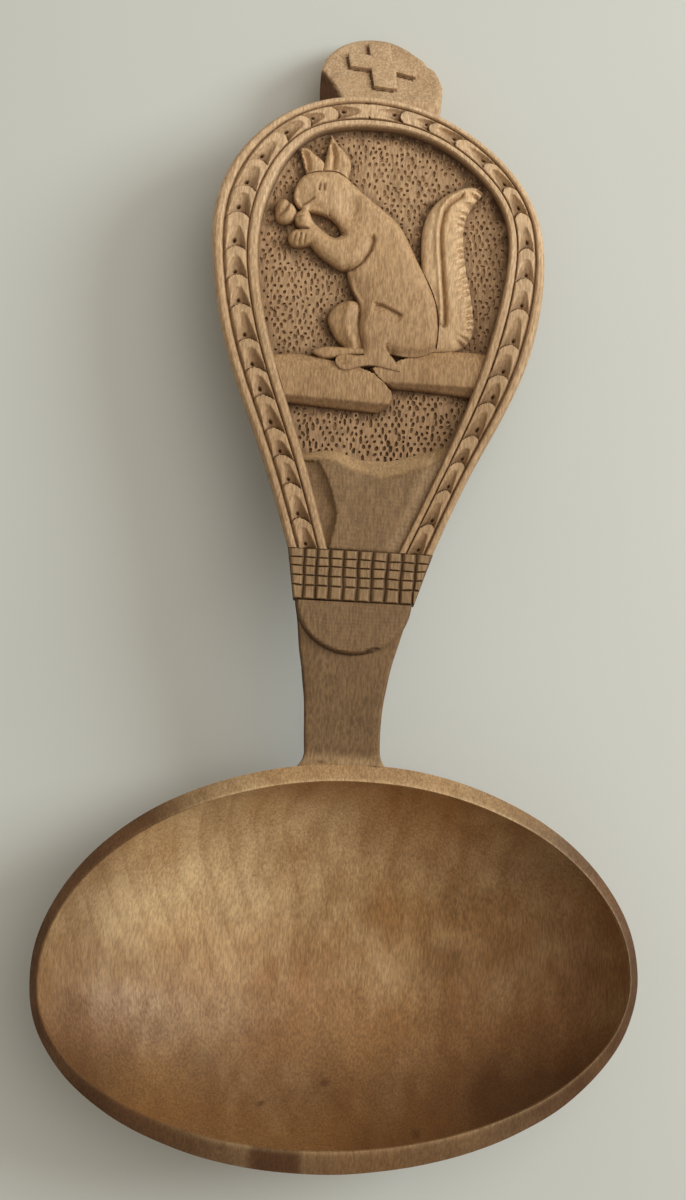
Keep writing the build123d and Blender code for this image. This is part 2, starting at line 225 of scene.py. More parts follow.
def triangulate(rings, filling, step):
    """Triangles over all the rings and the filling points, with every ring kept as edges."""
    coords = []
    edges = []
    for ring in rings:
        first = len(coords)
        coords += [tuple(point) for point in ring]
        edges += [(first + i, first + (i + 1) % len(ring)) for i in range(len(ring))]
    starts = np.vstack(rings)
    ends = np.vstack([np.roll(ring, -1, axis=0) for ring in rings])
    clear = to_segments(filling, starts, ends)[0] > 0.45 * step
    coords += [tuple(point) for point in filling[clear]]
    corners = [Vector(point) for point in coords]
    points, _, faces, _, _, _ = delaunay_2d_cdt(corners, edges, [], 0, 1e-5)
    return np.array([tuple(p) for p in points]), np.array(faces)


def fill_points(ring, step, jitter):
    """Staggered rows of points over the box of an outline."""
    low = ring.min(axis=0)
    high = ring.max(axis=0)
    rows = np.arange(low[1], high[1], step * math.sqrt(0.75))
    places = []
    for number, y in enumerate(rows):
        x = np.arange(low[0] + (number % 2) * step / 2, high[0], step)
        places.append(np.column_stack([x, np.full(len(x), y)]))
    places = np.vstack(places)
    return places + RNG.uniform(-jitter, jitter, places.shape)


def inside_faces(points, faces, ring):
    """The triangles whose middle lies inside a closed outline."""
    return faces[within(points[faces].mean(axis=1), ring)]


def filled(edge, step, jitter):
    """Points and triangles that fill a closed outline."""
    filling = fill_points(edge, step, jitter)
    points, faces = triangulate([edge], filling[within(filling, edge)], step)
    return points, inside_faces(points, faces, edge)


# ---- Meshes ----

def laid(points):
    """The carver's millimetres, laid on the table, in metres."""
    points = np.asarray(points, float)
    along = points[:, 1] - FOOT_Y
    height = points[:, 2]
    placed = np.column_stack([
        points[:, 0] - FOOT_X,
        along * math.cos(LEAN) + height * math.sin(LEAN),
        RIM_HEIGHT - along * math.sin(LEAN) + height * math.cos(LEAN),
    ])
    return placed * MM


def carved(point):
    """The carver's millimetres of a point on the laid spoon."""
    x, along, height = (value / MM for value in point)
    height -= RIM_HEIGHT
    return (
        x + FOOT_X,
        FOOT_Y + along * math.cos(LEAN) - height * math.sin(LEAN),
        along * math.sin(LEAN) + height * math.cos(LEAN),
    )


def on_finial(points):
    """Points on the finial's sloping face (across, along, above it) in the carver's frame."""
    points = np.asarray(points, float)
    x, s, h = points[:, 0], points[:, 1], points[:, 2]
    y = FINIAL_START[1] + s * math.cos(FINIAL_SLOPE) + h * math.sin(FINIAL_SLOPE)
    z = FINIAL_START[2] - s * math.sin(FINIAL_SLOPE) + h * math.cos(FINIAL_SLOPE)
    return np.column_stack([x, y, z])


def rested(points):
    """Laid on the table, and cut flat where the wood stands on it."""
    placed = laid(points)
    placed[:, 2] = np.maximum(placed[:, 2], 0.0)
    return placed


def border_edges(faces):
    """Edges that only one triangle has, in that triangle's direction."""
    ways = np.vstack([faces[:, [0, 1]], faces[:, [1, 2]], faces[:, [2, 0]]])
    pairs = {(int(a), int(b)) for a, b in ways}
    return [(a, b) for a, b in pairs if (b, a) not in pairs]


def border_loop(faces):
    """The single outer loop of a triangulated plan."""
    following = dict(border_edges(faces))
    start = next(iter(following))
    loop = [start]
    while following[loop[-1]] != start:
        loop.append(following[loop[-1]])
    return np.array(loop)


def mark(mesh, name, values):
    """One value per vertex, which the wood reads by its name."""
    layer = mesh.attributes.new(name, "FLOAT", "POINT")
    layer.data.foreach_set("value", np.asarray(values, float))


class Solid:
    """Vertices, faces and one value of grime and painted shade per vertex, gathered piece by piece.
    """

    def __init__(self):
        self.vertices = []
        self.faces = []
        self.grime_and_shade = []
        self.count = 0

    def add(self, vertices, faces, grime_and_shade):
        """Add one part, with its own face indices."""
        vertices = np.asarray(vertices, float)
        self.vertices.append(vertices)
        self.faces += [[self.count + i for i in face] for face in faces]
        self.grime_and_shade.append(np.broadcast_to(grime_and_shade, (len(vertices),)).astype(float))
        self.count += len(vertices)

    def sweep(self, loops, grime_and_shade):
        """Skin over a row of closed loops with the same number of points, closed at both ends."""
        loops = np.asarray(loops, float)
        rows, size = loops.shape[:2]
        faces = []
        for row in range(rows - 1):
            here, there = row * size, (row + 1) * size
            for i in range(size):
                j = (i + 1) % size
                faces.append((here + i, here + j, there + j, there + i))
        faces.append(tuple(range(size)))
        faces.append(tuple((rows - 1) * size + i for i in reversed(range(size))))
        values = np.broadcast_to(grime_and_shade, (rows, size)).reshape(-1)
        self.add(loops.reshape(-1, 3), faces, values)

    def block(self, points, faces, tops, floor, grime_and_shade, foot):
        """Closed block over plan triangles: a carved top, upright walls and a floor darker with
        grime and painted shade.
        """
        used, flat = np.unique(faces, return_inverse=True)
        faces = flat.reshape(-1, 3)
        plan = points[used]
        size = len(used)
        top = np.column_stack([plan, tops])
        base = np.column_stack([plan, np.full(size, floor)])
        walls = [(b, a, a + size, b + size) for a, b in border_edges(faces)]
        under = [(a + size, c + size, b + size) for a, b, c in faces.tolist()]
        values = np.broadcast_to(grime_and_shade, (size,))
        values = np.concatenate([values, np.maximum(values, foot)])
        self.add(np.vstack([top, base]), faces.tolist() + walls + under, values)

    def slab(self, points, faces, tops, levels, grime_and_shade):
        """Closed slab: a carved top, then its outline drawn in level by level to a flat floor."""
        used, flat = np.unique(faces, return_inverse=True)
        faces = flat.reshape(-1, 3)
        plan = points[used]
        loop = border_loop(faces)
        ring = plan[loop]
        run = np.roll(ring, -1, axis=0) - np.roll(ring, 1, axis=0)
        inward = np.column_stack([-run[:, 1], run[:, 0]]) / np.linalg.norm(run, axis=1)[:, None]
        size = len(used)
        vertices = [np.column_stack([plan, tops])]
        skin = faces.tolist()
        above = loop.tolist()
        for number, (inset, level) in enumerate(levels):
            height = np.full(len(ring), level)
            vertices.append(np.column_stack([ring + inward * inset, height]))
            below = [size + number * len(ring) + i for i in range(len(ring))]
            for i in range(len(ring)):
                j = (i + 1) % len(ring)
                skin.append((above[j], above[i], below[i], below[j]))
            above = below
        skin.append(tuple(reversed(above)))
        vertices = np.vstack(vertices)
        plain = np.zeros(len(vertices) - size)
        self.add(vertices, skin, np.concatenate([np.broadcast_to(grime_and_shade, (size,)), plain]))

    def finish(self, name, nodes, material, place=laid, sharp=38, worn=None):
        """Make the mesh piece that stands for the named nodes, with its faces outwards."""
        mesh = bpy.data.meshes.new(name)
        mesh.from_pydata(place(np.vstack(self.vertices)).tolist(), [], self.faces)
        mark(mesh, "grime_and_shade", np.concatenate(self.grime_and_shade))
        if worn is not None:
            mark(mesh, "worn", np.broadcast_to(worn, (self.count,)))
        work = bmesh.new()
        work.from_mesh(mesh)
        settle(work, mesh)
        dress(name, mesh, nodes, material, sharp)


def settle(work, mesh):
    """Turn all faces outwards and write the worked shape back to its mesh."""
    bmesh.ops.recalc_face_normals(work, faces=work.faces)
    work.to_mesh(mesh)
    work.free()


def only(kind, parts):
    """The parts of one kind: vertices, edges or faces."""
    return [part for part in parts if isinstance(part, kind)]


def shown(name, data):
    """An object in the scene."""
    made = bpy.data.objects.new(name, data)
    bpy.context.scene.collection.objects.link(made)
    return made


def dress(name, mesh, nodes, material, sharp):
    """A finished mesh as a piece of the spoon, with edges above the angle kept sharp."""
    mesh.shade_smooth()
    mesh.set_sharp_from_angle(angle=math.radians(sharp))
    mesh.materials.clear()
    mesh.materials.append(material)
    piece = shown(name, mesh)
    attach(piece, "root")
    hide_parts(*nodes)


# ---- Node trees ----

class Graph:
    """Short way to place and link nodes in a tree."""

    def __init__(self, tree):
        self.tree = tree

    def feed(self, socket, value):
        """Link a socket to the output that feeds it, or give it a plain value."""
        if isinstance(value, bpy.types.NodeSocket):
            self.tree.links.new(value, socket)
        else:
            socket.default_value = value

    def node(self, kind, inputs=None, **settings):
        made = self.tree.nodes.new(kind)
        for key, value in settings.items():
            setattr(made, key, value)
        for key, value in (inputs or {}).items():
            self.feed(made.inputs[key], value)
        return made

    def math(self, operation, a, b=0.0, clamp=False):
        inputs = {0: a, 1: b}
        return self.node("ShaderNodeMath", inputs, operation=operation, use_clamp=clamp).outputs[0]

    def plus(self, a, b, clamp=False):
        return self.math("ADD", a, b, clamp)

    def minus(self, a, b):
        return self.math("SUBTRACT", a, b)

    def times(self, a, b, clamp=False):
        return self.math("MULTIPLY", a, b, clamp)

    def weigh(self, *parts):
        """Sum of values, each times its share."""
        total = None
        for value, share in parts:
            part = self.times(value, share)
            total = part if total is None else self.plus(total, part)
        return total

    def remap(self, value, low, high, to_low=0.0, to_high=1.0):
        ends = {"From Min": low, "From Max": high, "To Min": to_low, "To Max": to_high}
        smooth = {"interpolation_type": "SMOOTHSTEP"}
        return self.node("ShaderNodeMapRange", {"Value": value, **ends}, **smooth).outputs[0]

    def mix(self, share, a, b, blend="MIX"):
        inputs = {0: share, 6: a, 7: b}
        return self.node("ShaderNodeMix", inputs, data_type="RGBA", blend_type=blend).outputs[2]

    def scaled(self, vector, size):
        return self.node("ShaderNodeVectorMath", {0: vector, 3: size}, operation="SCALE").outputs[0]

    def noise(self, vector, stretch, detail=3.0, roughness=0.55, distortion=0.0):
        """Clouds from 0 to 1, so many to the metre along each axis."""
        mapped = self.node("ShaderNodeMapping", {"Vector": vector, "Scale": stretch}).outputs[0]
        looks = {"Detail": detail, "Roughness": roughness, "Distortion": distortion}
        made = self.node("ShaderNodeTexNoise", {"Vector": mapped, "Scale": 1.0, **looks})
        return made.outputs["Fac"]

    def bumped(self, height, strength, distance):
        inputs = {"Height": height, "Strength": strength, "Distance": distance}
        return self.node("ShaderNodeBump", inputs).outputs[0]

    def chance(self, seed, low, high):
        """A random value for each face or point."""
        inputs = {2: low, 3: high, "Seed": seed}
        return self.node("FunctionNodeRandomValue", inputs, data_type="FLOAT").outputs[1]

    def raised(self, mesh, chosen, offset):
        """Every chosen face pushed out by itself: the mesh, and which faces are the new tops."""
        inputs = {"Mesh": mesh, "Selection": chosen, "Offset Scale": offset, "Individual": True}
        made = self.node("GeometryNodeExtrudeMesh", inputs, mode="FACES")
        return made.outputs["Mesh"], made.outputs["Top"]

    def resized(self, mesh, chosen, size, axis=None):
        """Every chosen face scaled about its middle, evenly or along one axis."""
        inputs = {"Geometry": mesh, "Selection": chosen, "Scale": size}
        if axis is None:
            return self.node("GeometryNodeScaleElements", inputs).outputs[0]
        inputs["Axis"] = axis
        made = self.node("GeometryNodeScaleElements", inputs, scale_mode="SINGLE_AXIS")
        return made.outputs[0]


def shade_group(name, values, results):
    """Empty shader group: a vector and named values with their defaults in, named values out."""
    tree = bpy.data.node_groups.new(name, "ShaderNodeTree")
    tree.interface.new_socket("Vector", in_out="INPUT", socket_type="NodeSocketVector")
    for label, value in values.items():
        socket = tree.interface.new_socket(label, in_out="INPUT", socket_type="NodeSocketFloat")
        socket.default_value = value
    for label in results:
        tree.interface.new_socket(label, in_out="OUTPUT", socket_type="NodeSocketFloat")
    graph = Graph(tree)
    return graph, graph.node("NodeGroupInput").outputs, graph.node("NodeGroupOutput").inputs


def shape_group(name, start, values, result):
    """Empty geometry group: its graph, what it is given, and the identifiers of its inputs."""
    tree = bpy.data.node_groups.new(name, "GeometryNodeTree")
    tree.interface.new_socket(start, in_out="INPUT", socket_type="NodeSocketGeometry")
    kinds = dict.fromkeys(values, "NodeSocketFloat")
    kinds.update({"Seed": "NodeSocketInt", "Material": "NodeSocketMaterial"})
    sockets = {}
    for label, kind in kinds.items():
        made = tree.interface.new_socket(label, in_out="INPUT", socket_type=kind)
        sockets[label] = made.identifier
    tree.interface.new_socket(result, in_out="OUTPUT", socket_type="NodeSocketGeometry")
    graph = Graph(tree)
    return graph, graph.node("NodeGroupInput").outputs, sockets


def close_shape(graph, geometry, given, result):
    """End of a geometry group: real faces, in the material that the group is given."""
    whole = graph.node("GeometryNodeRealizeInstances", {0: geometry}).outputs[0]
    inputs = {"Geometry": whole, "Material": given["Material"]}
    done = graph.node("GeometryNodeSetMaterial", inputs).outputs[0]
    graph.node("NodeGroupOutput", {result: done})


def grown(mesh, tree, sockets, values):
    """The plain mesh that a Geometry Nodes tree makes of a start mesh."""
    start = shown("start", mesh)
    modifier = start.modifiers.new("grow", "NODES")
    modifier.node_group = tree
    for label, value in values.items():
        modifier[sockets[label]] = value
    bpy.context.view_layer.update()
    seen = start.evaluated_get(bpy.context.evaluated_depsgraph_get())
    result = bpy.data.meshes.new_from_object(seen)
    start.modifiers.remove(modifier)
    bpy.data.objects.remove(start)
    return result


def linear(screen):
    """Colour given in screen values from 0 to 255."""
    shares = [value / 255 for value in screen]
    dark_end = 10 / 255
    return tuple(s / 12.92 if s <= dark_end else ((s + 0.055) / 1.055) ** 2.4
                 for s in shares) + (1.0,)


def empty_material(name):
    """A material without nodes, and its graph."""
    material = bpy.data.materials.new(name)
    material.use_nodes = True
    material.node_tree.nodes.clear()
    return material, Graph(material.node_tree)


# ---- Wood ----

def fibre_group():
    """Fibres along the spoon: a tone and a fine grain from 0 to 1, and a height for the bump."""
    graph, given, out = shade_group("wood_fibre", {"Fineness": 1.0}, ("Tone", "Grain", "Height"))
    vector = graph.scaled(given["Vector"], given["Fineness"])
    broad = graph.noise(vector, (110, 14, 110), distortion=0.4)
    fine = graph.noise(vector, (1300, 95, 1300), roughness=0.65)
    pores = graph.noise(vector, (2500, 480, 2500), detail=2, roughness=0.7)
    tone = graph.weigh((broad, 0.36), (fine, 0.32), (pores, 0.32))
    height = graph.weigh((fine, 0.6), (pores, 0.4))
    graph.feed(out["Tone"], graph.remap(tone, 0.33, 0.67))
    graph.feed(out["Grain"], graph.remap(pores, 0.34, 0.66))
    graph.feed(out["Height"], height)
    return graph.tree


def ring_group():
    """Growth rings round a heart that ran beside and below the block, along the handle."""
    graph, given, out = shade_group("growth_rings", {
        "Rings Per Metre": 180.0, "Heart Across": 0.085, "Heart Height": -0.048, "Slant": 0.55,
        "Waver": 0.016,
    }, ("Line",))
    split = graph.node("ShaderNodeSeparateXYZ", {"Vector": given["Vector"]}).outputs
    slanted = graph.plus(split["X"], graph.times(split["Y"], given["Slant"]))
    across = graph.math("POWER", graph.minus(slanted, given["Heart Across"]), 2.0)
    height = graph.math("POWER", graph.minus(split["Z"], given["Heart Height"]), 2.0)
    reach = graph.math("SQRT", graph.plus(across, height))
    waver = graph.noise(given["Vector"], (30, 12, 30), detail=2)
    shifted = graph.plus(reach, graph.times(waver, given["Waver"]))
    turns = graph.math("FRACT", graph.times(shifted, given["Rings Per Metre"]))
    line = graph.times(graph.remap(turns, 0.60, 0.94), graph.remap(turns, 1.0, 0.96))
    graph.feed(out["Line"], line)
    return graph.tree


def mottle_group():
    """Soft cloudy patches and small specks, as handling and old oil leave them."""
    sizes = {"Patches Per Metre": 45.0}
    graph, given, out = shade_group("handling_mottle", sizes, ("Patch", "Speck"))
    vector = graph.scaled(given["Vector"], given["Patches Per Metre"])
    patch = graph.noise(vector, (1, 1, 1), detail=4, distortion=0.6)
    speck = graph.noise(vector, (22, 22, 22), detail=2, roughness=0.6)
    graph.feed(out["Patch"], graph.remap(patch, 0.36, 0.66))
    graph.feed(out["Speck"], graph.remap(speck, 0.62, 0.78))
    return graph.tree


FIBRE = fibre_group()
RINGS = ring_group()
MOTTLE = mottle_group()

# How strongly the blotches, the specks and the grain show in every finish
BLOTCH_SHARE = 0.55
SPECK_SHARE = 0.18
SPECK_HEIGHT = 0.15
GRAIN_SHARE = 0.30
# How much the fibres and the blotches break up the worn places
WORN_BREAK = 0.5
# Painted shade where the light falls off towards the neck: its tint, and where along the spoon it
# starts and is full, in metres
FALLOFF_TINT = (0.45, 0.37, 0.27, 1.0)
FALLOFF_FROM = 0.168
FALLOFF_FULL = 0.112
# Worn fibres shine a little more than deep ones, and dirt is dull
FIBRE_ROUGHNESS = (0.08, -0.06)
DIRT_ROUGHNESS = 0.25
SHEEN = 0.35


def wood(name, pale, deep, blotch, grime_and_shade, worn, rings=0.10, ring_count=200.0, patches=45.0,
         roughness=0.62, bump=0.45, bump_depth=0.20, falloff_share=0.0):
    """One wood finish in screen colours: fibres from pale to deep, rings, blotches, grime and
    painted shade.

    The falloff share is how much painted shade darkens the wood towards the neck, where the light
    falls off. Each vertex may say how dark its grime and painted shade are, and how pale its wear
    and painted highlights make it.
    """
    pale, deep, blotch, grime_and_shade, worn = map(linear, (pale, deep, blotch, grime_and_shade, worn))
    material, graph = empty_material(name)
    place = graph.node("ShaderNodeTexCoord").outputs["Object"]
    fibre, ring, mottle = (graph.node("ShaderNodeGroup", node_tree=tree)
                           for tree in (FIBRE, RINGS, MOTTLE))
    for group in (fibre, ring, mottle):
        graph.feed(group.inputs["Vector"], place)
    graph.feed(ring.inputs["Rings Per Metre"], ring_count)
    graph.feed(mottle.inputs["Patches Per Metre"], patches)
    tone = fibre.outputs["Tone"]
    patch, speck = mottle.outputs["Patch"], mottle.outputs["Speck"]
    hollow = graph.node("ShaderNodeAttribute", attribute_name="grime_and_shade").outputs["Fac"]
    rubbed = graph.node("ShaderNodeAttribute", attribute_name="worn").outputs["Fac"]

    colour = graph.mix(tone, deep, pale)
    colour = graph.mix(graph.times(patch, BLOTCH_SHARE), colour, blotch)
    fibrous = graph.times(graph.minus(tone, 0.5), WORN_BREAK)
    uneven = graph.plus(fibrous, graph.times(graph.minus(0.5, patch), WORN_BREAK))
    paled = graph.times(rubbed, graph.plus(uneven, 1.0), clamp=True)
    colour = graph.mix(paled, colour, worn)
    colour = graph.mix(graph.times(ring.outputs["Line"], rings), colour, deep)
    colour = graph.mix(graph.times(speck, SPECK_SHARE), colour, grime_and_shade)
    along = graph.node("ShaderNodeSeparateXYZ", {"Vector": place}).outputs["Y"]
    # Painted shade: the wood darkens towards the neck as the light falls off
    light_falloff = graph.times(graph.remap(along, FALLOFF_FROM, FALLOFF_FULL), falloff_share)
    colour = graph.mix(light_falloff, colour, FALLOFF_TINT, blend="MULTIPLY")
    colour = graph.mix(graph.math("MINIMUM", hollow, 1.0), colour, grime_and_shade)
    shade = graph.times(fibre.outputs["Grain"], GRAIN_SHARE)
    grain = graph.plus(shade, 1 - GRAIN_SHARE / 2)
    grey = graph.node("ShaderNodeCombineColor", dict.fromkeys(range(3), grain)).outputs[0]
    colour = graph.mix(1.0, colour, grey, blend="MULTIPLY")

    height = graph.plus(fibre.outputs["Height"], graph.times(speck, SPECK_HEIGHT))
    normal = graph.bumped(height, bump, bump_depth * MM)
    rough = graph.remap(tone, 0.0, 1.0, *(roughness + change for change in FIBRE_ROUGHNESS))
    rough = graph.plus(rough, graph.times(hollow, DIRT_ROUGHNESS), clamp=True)
    shader = graph.node("ShaderNodeBsdfPrincipled", {
        "Base Color": colour, "Roughness": rough, "Normal": normal, "Specular IOR Level": SHEEN,
    })
    graph.node("ShaderNodeOutputMaterial", {"Surface": shader.outputs[0]})
    return material


GRIME_AND_SHADE_TONE = (84, 52, 26)
CARVED = wood(
    "carved_wood_relief", pale=(207, 170, 127), deep=(168, 131, 91), blotch=(186, 148, 104),
    grime_and_shade=GRIME_AND_SHADE_TONE, worn=(226, 190, 146), falloff_share=0.62,
)
BORDER = wood(
    "carved_wood_border", pale=(224, 190, 150), deep=(180, 145, 106), blotch=(200, 164, 122),
    grime_and_shade=GRIME_AND_SHADE_TONE, worn=(226, 190, 146), falloff_share=0.62,
)
STIPPLED = wood(
    "carved_wood_ground", pale=(193, 157, 117), deep=(150, 117, 82), blotch=(180, 143, 105),
    grime_and_shade=(60, 34, 14), worn=(214, 180, 140), falloff_share=0.5, bump=0.6,
)
# A darker copy of the wood for the neck, tongue, band and apron: painted shade where the light
# falls off towards the bowl
HANDLE_IN_SHADE = wood(
    "carved_wood_handle_in_shade", pale=(136, 106, 72), deep=(106, 79, 50), blotch=(120, 90, 58),
    grime_and_shade=(58, 34, 15), worn=(178, 144, 102), bump=0.35, bump_depth=0.15,
)
BOWL_WOOD = wood(
    "carved_wood_bowl", pale=(163, 122, 76), deep=(133, 94, 52), blotch=(150, 99, 52),
    grime_and_shade=(72, 40, 11), worn=(203, 170, 125), rings=0.22, ring_count=165.0, patches=30.0,
    roughness=0.45, bump=0.12, bump_depth=0.12,
)


# ---- Bowl ----

BOWL_SIDES = 288
OUTSIDE_RINGS = 52
HOLLOW_RINGS = 60
BEVEL_SHARES = (0.04, 0.2, 0.4, 0.6, 0.8, 0.93)
BEVEL_CROWN = 0.10
CREST_WEAR = 0.04
# Unevenness left by the hook knife: broad hollows and fine ripple inside, soft facets outside
HOLLOW_WAVE = 0.16
HOLLOW_RIPPLE = 0.03
OUTSIDE_WAVE = 0.0022


def egg(angle, half, back, front):
    """Points of the egg-shaped plan at the angles."""
    reach = np.where(np.sin(angle) > 0, back, front)
    return np.cos(angle) * half, np.sin(angle) * reach


def swell(rise, depth, below):
    """Share of a dome's full reach that is left at a level below the rim."""
    return math.sqrt(1 - ((rise + below) / (rise + depth)) ** 2)


def dome_rings(angle, radii, rise, depth, tilts):
    """Level rings of a dome at the given angles up from its lowest point."""
    rings = []
    for tilt in tilts:
        x, y = egg(angle, *(reach * math.sin(tilt) for reach in radii))
        level = rise - (rise + depth) * math.cos(tilt)
        rings.append(np.column_stack([x, y, np.full(len(angle), level)]))
    return rings


def bevel_rings(outside, inside):
    """The rim's bevel, slightly crowned, from its outer edge to the worn crest of the hollow."""
    rings = []
    for share in BEVEL_SHARES:
        ring = outside + (inside - outside) * share
        ring[:, 2] += BEVEL_CROWN * math.sin(math.pi * share)
        rings.append(ring)
    return rings + [inside - (0, 0, CREST_WEAR)]


def bowl():
    """Wide oval bowl as one skin: up the outside, over the bevelled rim, down the hollow."""
    angle = np.linspace(0, 2 * math.pi, BOWL_SIDES, endpoint=False)
    outer_swell = swell(DOME_RISE, BOWL_DEPTH, RIM_DROP)
    outer = tuple(reach / outer_swell for reach in (BOWL_HALF, BOWL_BACK, BOWL_FRONT))
    rim = (BOWL_HALF - RIM_SIDE, BOWL_BACK - RIM_BACK, BOWL_FRONT - RIM_FRONT)
    inner_swell = swell(HOLLOW_RISE, HOLLOW_DEPTH, 0)
    inner = tuple(reach / inner_swell for reach in rim)
    outer_end = math.acos((DOME_RISE + RIM_DROP) / (DOME_RISE + BOWL_DEPTH))
    inner_end = math.acos(HOLLOW_RISE / (HOLLOW_RISE + HOLLOW_DEPTH))
    outside = [*np.linspace(0.02, outer_end - 0.02, OUTSIDE_RINGS), outer_end - 0.006, outer_end]
    inside = [inner_end - 0.012, *np.linspace(inner_end - 0.03, 0.03, HOLLOW_RINGS)]
    rings = dome_rings(angle, outer, DOME_RISE, BOWL_DEPTH, outside)
    bevel = bevel_rings(rings[-1], np.column_stack([*egg(angle, *rim), np.zeros(len(angle))]))
    rings += bevel
    rings += dome_rings(angle, inner, HOLLOW_RISE, HOLLOW_DEPTH, inside)
    rings = np.array(rings)

    hollow = len(outside) + len(bevel)
    hand = wander_grid(rings, 9.0, 3)
    waves = HOLLOW_WAVE * hand + HOLLOW_RIPPLE * wander_grid(rings, 3.2, 4)
    rings[hollow + 1:, :, 2] += waves[hollow + 1:]
    growing = np.linspace(0.2, 1, hollow - 1)[:, None]
    rings[1:hollow, :, :2] *= (1 - OUTSIDE_WAVE * (1 + hand[1:hollow]) * growing)[..., None]
    cos, sin = math.cos(BOWL_SKEW), math.sin(BOWL_SKEW)
    x, y = rings[..., 0].copy(), rings[..., 1].copy()
    rings[..., 0] = x * cos - y * sin
    rings[..., 1] = x * sin + y * cos

    dark, pale = hollow_stain_and_shade(rings)
    rim_rows = slice(len(outside) - 1, hollow + 1)
    dark[rim_rows], pale[rim_rows] = rim_stain_shade_and_highlight(rings[rim_rows])
    handled = 0.12 * hand[:rim_rows.start]
    dark[:rim_rows.start], pale[:rim_rows.start] = 0.16 + handled, 0.24 - handled
    made = Solid()
    made.sweep(rings, dark)
    made.finish("bowl_carved", ["bowl"], BOWL_WOOD, rested, 50, pale.reshape(-1))


# Patches in the hollow: middle, reach along and across, turn, strength
# The pale patches hold a painted sheen in the middle of the hollow, and the dark ones painted shade
# on its right wall
PALE_PATCHES = (
    ((-34, 15), (27, 10), 0.12, 1.05), ((-10, 32), (42, 9), 0, 0.55),
    ((9, 3), (7, 13), 0.35, 0.30), ((-12, 0), (22, 10), 0, 0.22),
)
DARK_PATCHES = (
    ((22, 2), (7, 5), 0, 0.20), ((60, -4), (9, 20), 0, 0.22), ((34, -19), (22, 11), 0.35, 0.22),
)
BRUISES = (
    ((38.4, -21.0), (0.7, 0.7), 0, 0.9), ((-0.6, -22.5), (0.6, 0.6), 0, 0.9),
    ((-14.0, -27.0), (0.5, 0.5), 0, 0.9), ((19.0, -30.0), (0.5, 0.5), 0, 0.9),
)


def patches_at(x, y, patches):
    """Sum of soft round or long patches."""
    total = np.zeros(x.shape)
    for middle, reach, turn, strength in patches:
        cos, sin = math.cos(turn), math.sin(turn)
        along = (x - middle[0]) * cos + (y - middle[1]) * sin
        across = (y - middle[1]) * cos - (x - middle[0]) * sin
        total += strength * np.exp(-(along / reach[0]) ** 2 - (across / reach[1]) ** 2)
    return total


def hollow_stain_and_shade(rings):
    """Darker at the right and front of the hollow, paler at the upper left: partly old oil and use,
    partly painted shade and a painted sheen.
    """
    x, y = rings[..., 0], rings[..., 1]
    cloud = wander_grid(rings, 12.0, 71)
    fleck = wander_grid(rings * (1, 0.5, 1), 2.2, 73)
    oily = wander_grid(rings * (1, 1.4, 1), 9.0, 74)
    # Painted shade on the right wall and falling off towards the front
    right = fade((x - 8.0) / 46.0)
    front = fade((-y - 1.0) / 26.0)
    left = fade((-x - 36.0) / 20.0)
    pale = patches_at(x, y, PALE_PATCHES) + 0.22 * cloud + 0.14 * fleck
    dark = 0.34 * right + 0.50 * front + 0.34 * left + patches_at(x, y, DARK_PATCHES)
    dark += 0.10 * cloud - 0.06 * fleck + 0.12 * np.clip(oily, 0, 1.5)
    dark += patches_at(x, y, BRUISES)
    return np.clip(dark, 0, 0.9), np.clip(pale, 0, 0.95)


def rim_stain_shade_and_highlight(rings):
    """The bevel of the rim: grimy, with painted shade that is darkest at the left, painted light by
    the neck and a painted highlight along its inner edge.
    """
    x, y = rings[..., 0], rings[..., 1]
    turn = np.arctan2(y / BOWL_BACK, x / BOWL_HALF)
    inward = np.linspace(0, 1, len(rings))[:, None]
    cloud = wander_grid(rings, 7.0, 72)
    neck_side = fade((np.sin(turn) - 0.72) / 0.26)
    left = fade((-np.cos(turn) - 0.2) / 0.6)
    right = fade((np.cos(turn) - 0.55) / 0.4)
    front = fade((-np.sin(turn) - 0.3) / 0.5)
    patch = fade((5.5 - np.abs(x + 10.0)) / 1.2) * (y < 0)
    edge = fade((inward - 0.55) / 0.35)
    dark = 0.62 + 0.24 * left * (1 - 0.3 * edge) + 0.28 * right + 0.08 * front
    dark += 0.12 * cloud + 0.25 * patch - 0.26 * edge * (1 - left) - 0.50 * neck_side
    pale = 0.42 + 0.20 * neck_side + 0.35 * edge * (1 - left)
    pale += 0.10 * cloud - 0.20 * left - 0.3 * patch
    return np.clip(dark, 0, 0.95), np.clip(pale, 0, 0.9)


# ---- Neck and tongue ----

# Distance along, left side, right side, top, underside
NECK_STATIONS = np.array([
    (42.6, -11.6, 10.4, -3.4, -11.4),
    (44.0, -10.6, 9.3, -2.0, -10.8),
    (45.6, -9.4, 7.9, -1.3, -10.1),
    (49.0, -9.0, 6.95, -0.4, -9.0),
    (56.0, -9.4, 7.0, 1.6, -6.0),
    (61.5, -10.0, 7.8, 3.1, -4.6),
    (67.0, -10.9, 8.8, 4.6, -3.2),
    (72.5, -11.6, 10.3, 5.7, -2.2),
    (78.2, -12.5, 11.8, 6.6, -1.4),
    (83.4, -13.3, 13.4, 7.1, -0.9),
    (88.6, -14.1, 15.1, 7.4, -0.5),
])
NECK_SECTIONS = 150
NECK_CORNER = 0.7
NECK_UNDER_CORNER = 2.4
# Small cuts where the neck meets the rim
NECK_NICKS = ((-5.0, 45.2), (6.2, 44.6))
# How far the start of the neck leans under the bowl, for each unit of depth
NECK_LEAN = 0.52


